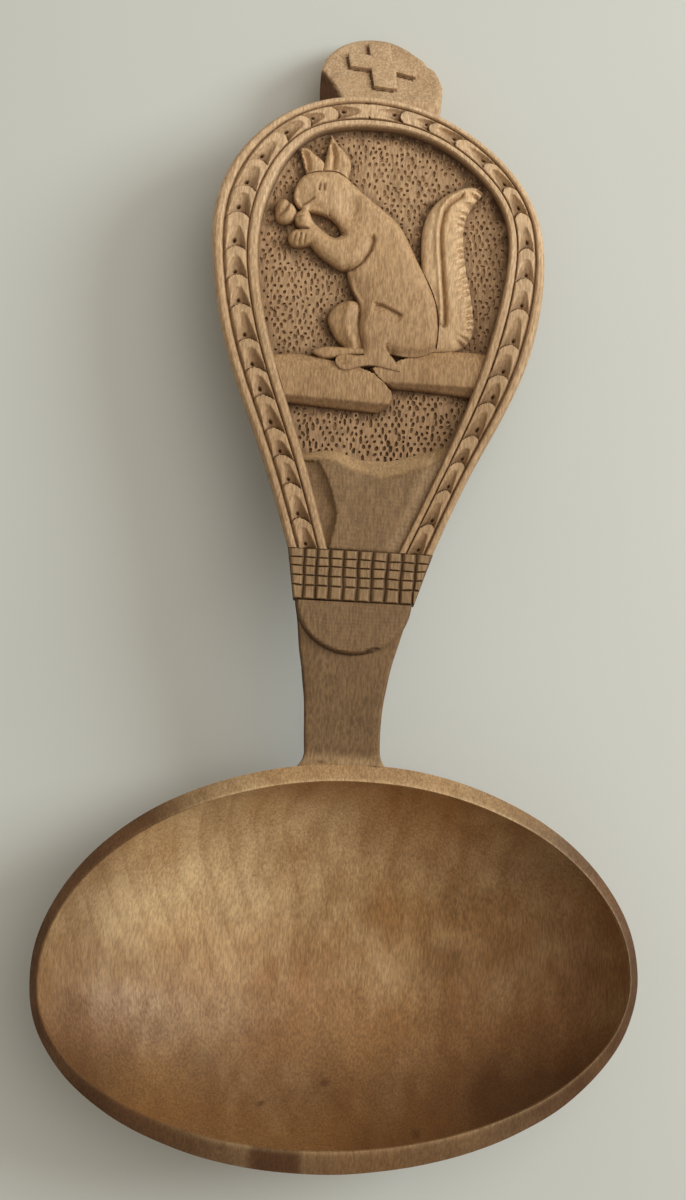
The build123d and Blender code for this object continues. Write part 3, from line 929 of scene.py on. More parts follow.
def rounded_section(left, right, top, low):
    """Points round a section of the neck: upper corners tight, lower corners fuller."""
    quarter = np.linspace(0, math.pi / 2, 6)
    points = []
    for x, z, radius, start in (
        (right, top, NECK_CORNER, 0.0), (left, top, NECK_CORNER, 90.0),
        (left, low, NECK_UNDER_CORNER, 180.0), (right, low, NECK_UNDER_CORNER, 270.0),
    ):
        centre_x = x - radius if x == right else x + radius
        centre_z = z - radius if z == top else z + radius
        for angle in math.radians(start) + quarter:
            away = radius * math.cos(angle), radius * math.sin(angle)
            points.append((centre_x + away[0], centre_z + away[1]))
        if start == 0.0:
            points += [(right + (left - right) * s, top) for s in np.linspace(0.12, 0.88, 14)]
        if start == 180.0:
            points += [(left + (right - left) * s, low) for s in np.linspace(0.2, 0.8, 8)]
    return np.array(points)


def neck():
    """Tapering neck: painted shade down its left side and underneath, its start leaning under the
    bowl's worn ledge.
    """
    along = np.linspace(NECK_STATIONS[0, 0], NECK_STATIONS[-1, 0], NECK_SECTIONS)
    sides = cubic(NECK_STATIONS[:, 0], NECK_STATIONS[:, 1:], along)
    sections = np.array([rounded_section(*side) for side in sides])
    level = np.broadcast_to(along[:, None], sections.shape[:2])
    loops = np.stack([sections[..., 0], level, sections[..., 1]], axis=2)
    middle = loops.mean(axis=1, keepdims=True)
    uneven = wander_grid(loops[..., :2] + loops[..., 2:] * 0.7, 6.0, 11)
    loops += (middle - loops) * (0.012 * (1 + uneven))[..., None] * (1, 0, 1)

    x, y, z = loops[..., 0], loops[..., 1], loops[..., 2]
    left_side, top = sides[:, None, 0], sides[:, None, 2]
    grey = 0.16 * wander_grid(loops, 5.0, 12)
    drop = np.clip(top - z, 0, None)
    ledge = fade((48.0 - y) / 3.0) * fade((1.6 - drop) / 1.2)
    under = fade((top - 1.2 - z) / 2.0)
    left = fade((left_side + 0.9 - x) / 0.8)
    nicks = sum(np.exp(-((x - nick_x) / 0.9) ** 2 - ((y - nick_y) / 0.3) ** 2)
                for nick_x, nick_y in NECK_NICKS)
    # Painted shade down the left side and underneath the neck
    grime_and_shade = 0.10 + grey + 0.25 * under + 0.45 * left + 0.8 * nicks - 0.1 * ledge
    worn = np.clip(0.75 * ledge + 0.6 * grey, 0, 1).reshape(-1)
    loops[..., 1] -= NECK_LEAN * drop * fade((54.0 - y) / 10.0)
    made = Solid()
    made.sweep(loops, np.clip(grime_and_shade, 0, 0.9))
    made.finish("neck_carved", ["neck"], HANDLE_IN_SHADE, worn=worn)


TONGUE_STEP = 0.36
TONGUE_SEAT = 3.0
TONGUE_MIDDLE = -0.3
TONGUE_HALF = 12.0
TONGUE_REACH = 10.9
# Steps between tool marks along the tongue, and a short split in it
TONGUE_MARKS = 0.8
TONGUE_SPLIT = ((3.0, 68.3), (4.4, 68.9), (5.4, 68.8))


def tongue():
    """Rounded tongue over the neck: a steep step at its left and tip, painted in shadow, fading at
    its right.
    """
    turn = np.linspace(math.pi, 2 * math.pi, 90)
    arc = np.column_stack([TONGUE_MIDDLE + TONGUE_HALF * np.cos(turn),
                           BAND_START + TONGUE_REACH * np.sin(turn)])
    points, faces = triangulate([arc], fill_points(arc, TONGUE_STEP, JITTER), TONGUE_STEP)
    faces = inside_faces(points, faces, arc)
    x, y = points.T
    rise = (y - BAND_START + TONGUE_REACH) / TONGUE_REACH
    tops = TONGUE_TIP_HEIGHT + (BAND_FOOT_HEIGHT - 0.35 - TONGUE_TIP_HEIGHT) * rise
    steep = 1 - 0.8 * fade((x - 2.5) / 4.0)
    foot = 1 - fade(gap_to(points, arc) / 0.75)
    tops -= (0.25 + 1.0 * steep) * foot
    tops += 0.06 * np.sin(y * 2 * math.pi / TONGUE_MARKS + 1.5 * wander(points, 2.5, 5))
    split = bell(gap_to(points, TONGUE_SPLIT), 0.22)
    used = np.unique(faces)
    # Painted shadow on the steep step at the left and tip
    grime_and_shade = np.clip(0.85 * steep * foot + 0.8 * split, 0, 1)
    made = Solid()
    made.block(points, faces, (tops - 0.35 * split)[used], TONGUE_SEAT, grime_and_shade[used], 0.65)
    made.finish("tongue_carved", ["tongue"], HANDLE_IN_SHADE)


# ---- Lattice band ----

# Lines of the crossed grooves, and the band's left and right sides where it starts and ends
BAND_COLUMNS = (-10.9, -8.3, -5.6, -2.7, 0.2, 3.1, 6.1, 9.1, 12.0)
BAND_ROWS = (81.1, 83.1, 85.0, 86.7)
BAND_LEFT = (-12.8, -14.4)
BAND_RIGHT = (12.2, 15.5)
BAND_SINK = 0.72
BAND_WALL = 5.3
# Each tile ends in a small cap that is drawn in
CAP_RISE = 0.06
CAP_SHARE = 0.86


def lattice_tree():
    """Crossed V grooves: each cell of a grid is raised and drawn in to a tile."""
    sizes = ("Groove Depth", "Tile Share", "Row Share", "Unevenness")
    graph, given, sockets = shape_group("crossed_grooves", "Grid", sizes, "Tiles")
    wobble = graph.times(graph.chance(given["Seed"], -1.0, 1.0), given["Unevenness"])
    height = graph.times(given["Groove Depth"], graph.plus(wobble, 1.0))
    mesh, top = graph.raised(given["Grid"], True, height)
    share = graph.times(given["Tile Share"], graph.plus(graph.times(wobble, 0.4), 1.0))
    mesh = graph.resized(mesh, top, share, (1.0, 0.0, 0.0))
    mesh = graph.resized(mesh, top, given["Row Share"], (0.0, 1.0, 0.0))
    mesh, cap = graph.raised(mesh, top, CAP_RISE * MM)
    close_shape(graph, graph.resized(mesh, cap, CAP_SHARE), given, "Tiles")
    return graph.tree, sockets


def band_height(y):
    """Level of the tile tops along the rising band."""
    rise = (BORDER_TOP - BAND_FOOT_HEIGHT) / (MEDALLION_START - BAND_START)
    return BAND_FOOT_HEIGHT + (y - BAND_START) * rise


def band_grid():
    """Uneven grid of groove lines, fanning out towards the medallion: vertices and faces."""
    rows = (BAND_START, *BAND_ROWS, MEDALLION_START)
    vertices = []
    for y in rows:
        share = (y - BAND_START) / (MEDALLION_START - BAND_START)
        left, right = (start + (end - start) * share for start, end in (BAND_LEFT, BAND_RIGHT))
        for x in (left, *BAND_COLUMNS, right):
            slip = RNG.uniform(-0.12, 0.12)
            shift = RNG.uniform(-0.1, 0.1) if y in BAND_ROWS else 0.0
            fan = 0.02 * (y - 83.0) * (1 if x > 0 else -0.4)
            lean = 0.0 if x in (left, right) else fan + slip
            vertices.append((x + lean, y + shift, band_height(y) - BAND_SINK))
    width = len(BAND_COLUMNS) + 2
    corners = [row * width + column for row in range(len(rows) - 1) for column in range(width - 1)]
    return vertices, [(c, c + 1, c + width + 1, c + width) for c in corners]


def open_edges(work):
    """The edges with a face on one side only."""
    return [edge for edge in work.edges if edge.is_boundary]


def band():
    """Wedge-shaped band: a grid of tiles on top, upright sides and a floor."""
    vertices, faces = band_grid()
    mesh = bpy.data.meshes.new("band_grid")
    mesh.from_pydata(laid(vertices).tolist(), [], faces)
    tiles = grown(mesh, *lattice_tree(), {
        "Groove Depth": 0.66 * MM, "Tile Share": 0.60, "Row Share": 0.80, "Unevenness": 0.20,
        "Seed": 4, "Material": HANDLE_IN_SHADE,
    })
    work = bmesh.new()
    work.from_mesh(tiles)
    walls = bmesh.ops.extrude_edge_only(work, edges=open_edges(work))["geom"]
    down = Vector((0, math.sin(LEAN), math.cos(LEAN))) * (-BAND_WALL * MM)
    bmesh.ops.translate(work, verts=only(bmesh.types.BMVert, walls), vec=down)
    bmesh.ops.holes_fill(work, edges=open_edges(work), sides=0)
    grime_and_shade = work.verts.layers.float.new("grime_and_shade")
    worn = work.verts.layers.float.new("worn")
    for vert in work.verts:
        _, y, z = carved(vert.co)
        below = band_height(y) - z
        sunk = float(fade((below - 0.15) / 0.5))
        vert[grime_and_shade] = sunk * (0.72 if below < 1.5 else 0.25)
        vert[worn] = 0.34 * (1 - sunk)
    settle(work, tiles)
    dress("lattice_carved", tiles, ["lattice_band"], HANDLE_IN_SHADE, 20)


# ---- Medallion: outline, plate and punched ground ----

# Stations from the lower left over the top to the lower right: share of half the width, and share
# of the length.
OUTER_EDGE = (
    (-0.415, 0), (-0.62, 0.21), (-0.85, 0.42), (-0.968, 0.62), (-0.935, 0.80), (-0.59, 0.953),
    (-0.02, 1), (0.54, 0.93), (0.91, 0.80), (1.03, 0.635), (0.94, 0.413), (0.68, 0.205), (0.445, 0),
)
FIELD_EDGE = (
    (-0.18, 0), (-0.36, 0.205), (-0.58, 0.43), (-0.697, 0.635), (-0.635, 0.79), (-0.41, 0.905),
    (-0.01, 0.932), (0.375, 0.898), (0.72, 0.79), (0.807, 0.64), (0.685, 0.42), (0.48, 0.207),
    (0.24, 0),
)


def edge_line(share, count):
    """Line round the medallion, at a share of the way from its outline to the field."""
    outer, field = (
        np.array(edge) * (MEDALLION_HALF, MEDALLION_LENGTH) + (0, MEDALLION_START)
        for edge in (OUTER_EDGE, FIELD_EDGE)
    )
    stations = np.arange(len(outer), dtype=float)
    at = np.linspace(0, len(outer) - 1, count)
    return cubic(stations, outer, at) * (1 - share) + cubic(stations, field, at) * share


FIELD = edge_line(1.0, 360)
# Half the width of the medallion where it starts
START_HALF = 14.9
PIT_SPACING = 1.42
PIT_JITTER = 0.52
# The floor of a pit against its mouth, and the widest mouth that a cell takes
PIT_FLOOR_SHARE = 0.74
WIDEST_PIT = 0.9
# Width of a square cell's equal circle
ROUND_WIDTH = 1.13
# Rows of cuts that keep the underside's faces short
UNDERSIDE_STEP = 6.0


def stipple_tree():
    """Punched ground: the staggered cells of a mesh each get one pit, some of them a long one."""
    sizes = ("Pit Width", "Pit Depth", "Stroke", "Coverage")
    graph, given, sockets = shape_group("punched_ground", "Sheet", sizes, "Ground")

    def chance(low, high, shift):
        return graph.chance(graph.plus(given["Seed"], shift), low, high)

    def compared(a, operation, b):
        kinds = {"data_type": "FLOAT", "operation": operation}
        return graph.node("FunctionNodeCompare", {0: a, 1: b}, **kinds).outputs[0]

    sheet = {"Mesh": given["Sheet"], "Keep Boundaries": True}
    cells = graph.node("GeometryNodeDualMesh", sheet).outputs[0]
    named = {"Name": "field"}
    field = graph.node("GeometryNodeInputNamedAttribute", named, data_type="FLOAT").outputs[0]
    choices = {0: compared(field, "GREATER_THAN", 0.99),
               1: compared(chance(0.0, 1.0, 1), "LESS_THAN", given["Coverage"])}
    chosen = graph.node("FunctionNodeBooleanMath", choices, operation="AND").outputs[0]
    area = graph.node("GeometryNodeInputMeshFaceArea").outputs[0]
    cell_width = graph.times(graph.math("SQRT", area), ROUND_WIDTH)
    pit_width = graph.times(given["Pit Width"], chance(0.72, 1.25, 2))
    ratio = graph.math("MINIMUM", graph.math("DIVIDE", pit_width, cell_width), WIDEST_PIT)
    mesh, mouth = graph.raised(cells, chosen, 0.0)
    mesh = graph.resized(mesh, mouth, ratio)
    stroke = graph.times(given["Stroke"], graph.math("POWER", chance(0.0, 1.0, 3), 2.0))
    mesh = graph.resized(mesh, mouth, graph.plus(stroke, 1.0), (0.05, 1.0, 0.0))
    depth = graph.times(given["Pit Depth"], chance(-0.7, -1.15, 4))
    mesh, bottom = graph.raised(mesh, mouth, depth)
    mesh = graph.resized(mesh, bottom, PIT_FLOOR_SHARE)
    told = {"Geometry": mesh, "Selection": bottom, "Name": "pit", "Value": 1.0}
    kinds = {"data_type": "FLOAT", "domain": "FACE"}
    marked = graph.node("GeometryNodeStoreNamedAttribute", told, **kinds).outputs[0]
    close_shape(graph, marked, given, "Ground")
    return graph.tree, sockets


def shade_toward_band(y):
    """Painted shade on the medallion's side, darkest beside the band."""
    return 0.62 * fade((128.0 - y) / 40.0)


def ground_dirt_and_shadow(points, forms):
    """Dirt and painted shade at the feet of the forms, painted shadow in their lee, and dirt and
    painted shadow along the border, the shadow most at its upper right.
    """
    foot = np.min([gap_to_edge(points, ring) for ring in forms], axis=0)
    # Painted shadow below and left of the forms, on the side away from the light
    lee_shadow = within_any(points + (0.9, 0.8), forms)
    edge = gap_to(points, FIELD)
    # Painted shadow of the border on the ground, deepest at its upper right
    bearing = np.arctan2(points[:, 1] - 145.0, points[:, 0])
    shaded_side = fade((np.cos(bearing - 1.05) - 0.50) / 0.4)
    dirt_and_shadow = 0.40 * fade(1.15 - foot / 1.2) + 0.35 * lee_shadow
    dirt_and_shadow += (0.25 + 0.60 * shaded_side) * fade(1.1 - edge / (1.1 + 1.1 * shaded_side))
    dirt_and_shadow = np.where(within(points, FIELD), dirt_and_shadow, shade_toward_band(points[:, 1]))
    return np.clip(dirt_and_shadow, 0, 0.85)


def ground_sheet(forms):
    """Plan of the plate's top, with its dirt and painted shadow and the ground that is open to the
    punch.
    """
    rim = edge_line(0.0, 420)
    filling = fill_points(rim, PIT_SPACING, PIT_JITTER)
    filling = filling[within(filling, rim)]
    clear = gap_to_edge(filling, rim) > 0.8
    points, faces = triangulate([rim], filling[clear], 0.5)
    faces = inside_faces(points, faces, rim)
    under_apron = points[:, 1] < np.interp(points[:, 0], *np.array(APRON_CREST).T)
    open_field = within(points, FIELD) & (gap_to(points, FIELD) > 0.35)
    level = GROUND + 0.12 * wander(points * (1, 0.35), 1.6, 21)
    mesh = bpy.data.meshes.new("ground_sheet")
    mesh.from_pydata(laid(np.column_stack([points, level])).tolist(), [], faces.tolist())
    mark(mesh, "field", open_field & ~within_any(points, forms) & ~under_apron)
    mark(mesh, "dirt_and_shadow", ground_dirt_and_shadow(points, forms))
    return mesh


def close_plate(work):
    """Upright side, rounded lower corner and flat underside, below the plate's open edge."""
    turn = PLATE_ROUND * CORNER_GAP
    depth = GROUND - PLATE_UNDERSIDE
    levels = (
        (depth - PLATE_ROUND, 0.0), (depth - PLATE_ROUND * 0.55, 0.12), (depth - turn, turn),
        (depth - 0.12, PLATE_ROUND * 0.6), (depth, PLATE_ROUND),
    )
    down = Vector((0, -math.sin(LEAN), -math.cos(LEAN))) * MM
    middle = Vector(laid([(0.5, 142.0, 0.0)])[0])
    edges = open_edges(work)
    done_fall, done_inset = 0.0, 0.0
    for fall, inset in levels:
        made = bmesh.ops.extrude_edge_only(work, edges=edges)["geom"]
        edges = [edge for edge in only(bmesh.types.BMEdge, made) if edge.is_boundary]
        for vert in only(bmesh.types.BMVert, made):
            inward = middle - vert.co
            inward -= down * inward.dot(down) / down.length_squared
            inward.normalize()
            x, y, _ = carved(vert.co)
            if y < MEDALLION_START + 0.2:
                inward = Vector((-(x - 0.5) / START_HALF, 0, 0))
            vert.co += down * (fall - done_fall) + inward * (inset - done_inset) * MM
        done_fall, done_inset = fall, inset
    bottom = bmesh.ops.holes_fill(work, edges=edges, sides=0)["faces"]
    end = MEDALLION_START + MEDALLION_LENGTH
    for y in np.arange(MEDALLION_START + 4.0, end - 3.0, UNDERSIDE_STEP):
        parts = dict.fromkeys(bottom)
        parts.update(dict.fromkeys(edge for face in bottom for edge in face.edges))
        parts.update(dict.fromkeys(vert for face in bottom for vert in face.verts))
        place = laid([(0.0, y, 0.0)])[0]
        cut = bmesh.ops.bisect_plane(
            work, geom=list(parts), plane_co=place, plane_no=(0.0, 1.0, 0.0))
        bottom = only(bmesh.types.BMFace, cut["geom"])


def plate(forms):
    """The medallion's back: punched ground on top, upright edge, rounded lower corner.

    No pit is punched under the forms, and dirt and painted shade lie at their feet.
    """
    ground = grown(ground_sheet(forms), *stipple_tree(), {
        "Pit Width": 0.67 * MM, "Pit Depth": 0.95 * MM, "Stroke": 1.9, "Coverage": 0.92,
        "Seed": 9, "Material": STIPPLED,
    })
    work = bmesh.new()
    work.from_mesh(ground)
    pit, dirt_and_shadow = work.faces.layers.float.get("pit"), work.faces.layers.float.get("dirt_and_shadow")
    grime_and_shade = work.verts.layers.float.new("grime_and_shade")
    worn = work.verts.layers.float.new("worn")
    for face in work.faces:
        dark = 0.95 if face[pit] > 0.5 else face[dirt_and_shadow]
        for vert in face.verts:
            vert[grime_and_shade] = max(vert[grime_and_shade], dark)
    close_plate(work)
    # The side, the underside and the floors of the pits: painted shade darkest beside the band, and
    # paler further from it, the side more than the underside
    for vert in work.verts:
        _, y, z = carved(vert.co)
        if z < GROUND - 0.4:
            vert[grime_and_shade] = float(shade_toward_band(y))
            paled = 0.8 if z > PLATE_UNDERSIDE + 1.5 else 0.3
            vert[worn] = paled * float(fade((y - 92.0) / 45.0))
    settle(work, ground)
    dress("plate_carved", ground, ["medallion_plate"], STIPPLED, 50)


# ---- Border: two beads and the run of overlapping leaves ----

BORDER_STATIONS = 1150


def leaf_surface(across, length, travel):
    """Fall and darkness of the leaves, with painted shade in their scoops, for the length of their
    side and the travel from its foot.

    Each leaf is scooped out just above the lip of the leaf below it, and a peg hole sits in the
    scoop.
    """
    pitch = length / LEAVES_PER_SIDE
    place = (travel - 1.5 * (1 - across ** 2) + 1.2) / pitch
    place = place + 0.07 * np.sin(place * 2.1) + 0.04 * np.sin(place * 5.3 + 1.0)
    number = np.floor(place)
    step = place - number
    uneven = np.sin(number * 2.3 + 0.4)
    scoop_end = 0.66 + 0.07 * np.sin(number * 3.7)
    rise = np.clip(step / scoop_end, 0, 1)
    half = 0.90 - 0.55 * rise ** 1.5 + 0.05 * uneven
    centre = 0.06 + 0.05 * np.sin(number * 1.3)
    section = np.clip(1 - (np.abs(across - centre) / half) ** 2.4, 0, 1)
    hollow = np.sqrt(1 - rise) * section ** 0.75
    fall = (1.55 + 0.22 * uneven) * hollow
    side_cut = fade((-across - 0.66) / 0.34) * (0.75 + 0.35 * (1 - rise))
    end_cut = fade((across - 0.86) / 0.14)
    fall += 0.95 * side_cut + 0.7 * end_cut + 0.22 * fade((0.07 - step) / 0.07)
    hole_along = (step - 0.17) * pitch
    hole = np.exp(-((hole_along / 0.36) ** 2 + ((across + 0.10) * 2.6 / 0.36) ** 2) ** 1.5)
    fall += 0.9 * hole
    lip = fade((0.12 - step) / 0.12) * section
    # Painted shade in the scoops and under the lips, most towards the field; the peg holes and the
    # grooves at both sides are darker too
    grime_and_shade = 0.38 * hollow + 0.38 * lip + 0.95 * hole + 0.40 * hollow * fade((across - 0.05) / 0.5)
    grime_and_shade += 0.75 * fade((-across - 0.74) / 0.26) + 0.65 * fade((across - 0.88) / 0.12)
    return fall, np.clip(grime_and_shade, 0, 1)


def outer_surface(across, length, travel):
    """Fall and darkness of the outer bead, the same all along: rounded out, grooved at the leaves.
    """
    outside = np.clip((-across - 0.1) / 0.9, 0, 1)
    groove = np.clip((across - 0.45) / 0.55, 0, 1)
    return 1.25 * outside ** 2 + 0.85 * groove ** 1.3, 0.75 * fade((across - 0.72) / 0.28)


def inner_surface(across, length, travel):
    """Fall and darkness of the inner bead, the same all along: grooved at the leaves, rounded in,
    with painted shade where it rounds down to the field.
    """
    groove = np.clip((-across - 0.5) / 0.5, 0, 1)
    inside = np.clip((across - 0.35) / 0.65, 0, 1)
    grime_and_shade = 0.75 * fade((-across - 0.74) / 0.26) + 0.5 * fade((across - 0.72) / 0.28)
    return 0.85 * groove ** 1.3 + 1.0 * inside ** 2, grime_and_shade


def border():
    """The three mouldings, as grids swept round the medallion between two of its lines."""
    count = BORDER_STATIONS
    outer = edge_line(0.0, count)
    field = edge_line(1.0, count)
    centre = (outer + field) / 2
    travel = travelled(centre)
    summit = int(np.argmax(centre[:, 1]))
    at_left = np.arange(count) <= summit
    side_length = np.where(at_left, travel[summit], travel[-1] - travel[summit])[:, None]
    side_travel = np.where(at_left, travel, travel[-1] - travel)[:, None]
    leaves_end = BEAD_SHARE + LEAF_SHARE
    # The last value of each moulding darkens the foot of its walls; the inner bead's inner wall is
    # painted in shade
    for node, start, end, columns, surface, foot in (
        ("outer_bead", 0.0, BEAD_SHARE, 16, outer_surface, 0.3),
        ("leaf_band", BEAD_SHARE, leaves_end, 34, leaf_surface, 0.3),
        ("inner_bead", leaves_end, 1.0, 16, inner_surface, 0.9),
    ):
        lines = [outer * (1 - s) + field * s for s in np.linspace(start, end, columns)]
        grid = np.stack(lines, axis=1)
        across = np.broadcast_to(np.linspace(-1, 1, columns), (count, columns))
        fall, grime_and_shade = surface(across, side_length, side_travel)
        worn = 0.06 * wander_grid(grid, 2.2, 31)
        top = np.dstack([grid, BORDER_TOP - np.maximum(fall + worn, 0.0)])
        seat = np.full((count, 1), GROUND - 0.05)
        start_foot = np.dstack([grid[:, :1], seat])
        end_foot = np.dstack([grid[:, -1:], seat])
        start_grime_and_shade = end_grime_and_shade = np.full((count, 1), foot)
        if node == "outer_bead":
            start_grime_and_shade = np.maximum(grime_and_shade[:, :1], shade_toward_band(grid[:, :1, 1]))
        made = Solid()
        made.sweep(np.concatenate([start_foot, top, end_foot], axis=1),
                   np.concatenate([start_grime_and_shade, grime_and_shade, end_grime_and_shade], axis=1))
        made.finish(f"{node}_carved", [node], BORDER, sharp=60)


# ---- Relief: the squirrel on its broken logs ----

# The figure's own frame has its 0 at the perch, where the animal stands on the logs.
PERCH_SHARE = 0.42
PERCH = MEDALLION_START + PERCH_SHARE * MEDALLION_LENGTH

TORSO = (
    ((-5.5, 37.4), (-0.5, 33.3), (5.0, 28.7), (8.7, 22.1), (11.9, 16.4), (14.2, 9.2), (14.1, 2.6)),
    ((14.1, 2.6), (10.5, 0.9), (6.5, 0.9), (3.0, 1.6), (-1.0, 1.6)),
    ((-1.0, 1.6), (-2.4, 6.5), (-2.4, 11.0), (-3.9, 13.8), (-4.9, 16.1), (-5.5, 18.5),
     (-5.0, 24.0)),
    ((-5.0, 24.0), (-6.9, 26.1), (-7.9, 28.0), (-9.4, 29.4), (-5.5, 37.4)),
)
HEAD = (
    ((-9.4, 29.4), (-11.4, 30.2), (-14.0, 30.6), (-15.8, 31.0), (-17.2, 32.5), (-17.5, 34.2),
     (-17.1, 36.0), (-16.0, 37.9), (-13.8, 39.1), (-11.2, 39.5), (-8.3, 39.3), (-5.5, 37.4)),
    ((-5.5, 37.4), (-6.5, 33.0), (-9.4, 29.4)),
)
NEAR_EAR = (
    ((-11.8, 38.6), (-11.3, 42.0), (-10.3, 47.5)),
    ((-10.3, 47.5), (-8.7, 45.3), (-6.7, 43.2), (-5.9, 41.3), (-6.5, 38.0)),
    ((-6.5, 38.0), (-11.8, 38.6)),
)
FAR_EAR = (
    ((-14.9, 38.3), (-16.1, 41.7), (-16.8, 44.2)),
    ((-16.8, 44.2), (-15.3, 44.3), (-13.6, 43.1), (-11.3, 41.0), (-11.5, 38.8)),
    ((-11.5, 38.8), (-14.9, 38.3)),
)
FORELEG = (
    ((-0.2, 25.4), (-0.8, 22.9), (-2.2, 20.5), (-4.5, 18.7), (-6.9, 18.7), (-9.4, 20.1),
     (-11.9, 21.9), (-13.4, 23.6)),
    ((-13.4, 23.6), (-15.4, 23.1), (-17.4, 23.3), (-18.2, 24.8), (-17.4, 26.3), (-15.9, 27.0)),
    ((-15.9, 27.0), (-16.9, 28.3), (-16.6, 30.2), (-15.2, 30.9), (-13.8, 30.2)),
    ((-13.8, 30.2), (-13.2, 28.8), (-11.7, 27.3), (-9.7, 25.9), (-8.3, 25.4), (-6.9, 26.1)),
    ((-6.9, 26.1), (-4.6, 28.9), (-1.8, 28.6), (-0.2, 25.4)),
)
NUT = (
    ((-21.3, 30.2), (-21.1, 32.2), (-19.9, 33.2), (-18.2, 32.7), (-17.0, 31.4), (-16.6, 29.9),
     (-17.4, 28.6), (-19.2, 27.9), (-20.8, 28.6), (-21.3, 30.2)),
)
HAUNCH = (
    ((-2.4, 11.0), (-0.6, 11.6), (1.8, 11.6), (4.3, 10.5), (6.5, 9.3)),
    ((6.5, 9.3), (7.4, 6.6), (6.4, 3.8), (4.4, 3.0), (3.6, 2.8)),
    ((3.6, 2.8), (4.6, 0.9), (6.0, -0.8), (6.7, -2.5)),
    ((6.7, -2.5), (3.3, -1.8), (0.4, -1.5), (-2.4, -2.1), (-4.3, -2.7), (-5.9, -2.3), (-6.8, -0.9),
     (-6.4, 0.1), (-5.0, 0.6), (-2.6, 0.4), (-0.9, 0.6)),
    ((-0.9, 0.6), (-2.1, 4.8), (-2.6, 8.0), (-2.4, 11.0)),
)
FAR_LEG = (
    ((-2.0, 12.0), (-4.7, 12.3), (-6.6, 11.7), (-8.3, 10.0), (-8.9, 8.4), (-8.2, 6.0),
     (-6.9, 3.9), (-5.0, 2.2)),
    ((-5.0, 2.2), (-6.6, 2.4), (-9.3, 2.1), (-11.9, 0.9)),
    ((-11.9, 0.9), (-9.6, -0.2), (-7.0, 0.0), (-4.0, 0.6), (-0.5, 0.8)),
    ((-0.5, 0.8), (-0.5, 6.0), (-2.0, 12.0)),
)
TAIL = (
    ((12.6, 2.0), (12.2, 9.0), (10.6, 15.5), (9.9, 22.0), (9.9, 28.0), (11.2, 32.3), (14.6, 36.0),
     (18.0, 37.6), (20.4, 37.9), (22.3, 36.6)),
    ((22.3, 36.6), (19.9, 33.6), (18.6, 29.8), (18.6, 25.6), (19.4, 20.3), (20.6, 15.0),
     (21.5, 9.6), (21.3, 6.2), (19.6, 3.8), (16.2, 2.4), (12.6, 2.0)),
)
LEFT_LOG = (
    ((-30.0, -0.2), (-19.3, 0.2), (-12.1, 0.3), (-8.2, -0.4), (-2.0, -1.6), (2.0, -3.2)),
    ((2.0, -3.2), (3.8, -5.0), (5.2, -6.5)),
    ((5.2, -6.5), (5.4, -8.4), (4.4, -9.7), (2.4, -11.0)),
    ((2.4, -11.0), (-7.7, -10.4), (-15.4, -9.9), (-30.0, -9.3)),
    ((-30.0, -9.3), (-30.0, -0.2)),
)
RIGHT_LOG = (
    ((0.5, -1.8), (4.0, -0.8), (6.5, 0.2), (10.0, 1.4), (14.5, 2.4), (19.0, 2.7), (31.0, 2.0)),
    ((31.0, 2.0), (31.0, -7.0)),
    ((31.0, -7.0), (22.4, -6.8), (13.0, -6.1), (5.4, -5.8)),
    ((5.4, -5.8), (3.6, -4.9), (2.0, -3.8)),
    ((2.0, -3.8), (0.5, -1.8)),
)
FORMS = {
    "foreleg": FORELEG, "nut": NUT, "haunch": HAUNCH, "head": HEAD, "torso": TORSO,
    "near_ear": NEAR_EAR, "far_ear": FAR_EAR, "far_leg": FAR_LEG, "tail": TAIL,
    "right_log": RIGHT_LOG, "left_log": LEFT_LOG,
}
BODY = ("foreleg", "haunch", "head", "torso")
# Width of the steep side of a crease
STEEP_WIDTH = 0.25
# The forms of each piece
CARVINGS = {
    "squirrel_foreleg": ("foreleg",), "squirrel_nut": ("nut",), "squirrel_haunch": ("haunch",),
    "squirrel_head": ("head", "near_ear", "far_ear"), "squirrel_torso": ("torso",),
    "squirrel_far_leg": ("far_leg",), "squirrel_tail": ("tail",), "log_right": ("right_log",),
    "log_left": ("left_log",),
}


def silhouette(rings):
    """Outer edge of several overlapping outlines: the segments that lie on no other form."""
    starts, ends = [], []
    for ring in rings:
        here, there = ring, np.roll(ring, -1, axis=0)
        run = there - here
        normal = np.column_stack([-run[:, 1], run[:, 0]])
        normal /= np.maximum(np.linalg.norm(normal, axis=1), 1e-9)[:, None]
        middle = (here + there) / 2
        beside = [within_any(middle + way * normal, rings) for way in (0.45, -0.45)]
        outermost = ~(beside[0] & beside[1])
        starts.append(here[outermost])
        ends.append(there[outermost])
    return np.vstack(starts), np.vstack(ends)


def mound(points, middle, reach, lift):
    """Soft swell of the given lift, fading over its reach across and along."""
    away = (points - middle) / reach
    return lift * np.exp(-(away ** 2).sum(axis=1))


def round_over(edge, width):
    """Quarter round from 0 at the edge to 1 at its width."""
    return np.sqrt(np.clip(1 - (1 - np.clip(edge / width, 0, 1)) ** 2, 0, 1))


def step_cut(points, line, low_width):
    """Cut along a line, 1 at its deepest: steep on its left side, fading slowly on its right."""
    gap, where, side = to_line(points, line)
    count = len(line) - 1
    ends = fade(np.minimum(where, count - where) / (0.12 * count))
    return np.where(side < 0, np.exp(-gap / low_width), bell(gap, STEEP_WIDTH)) * ends


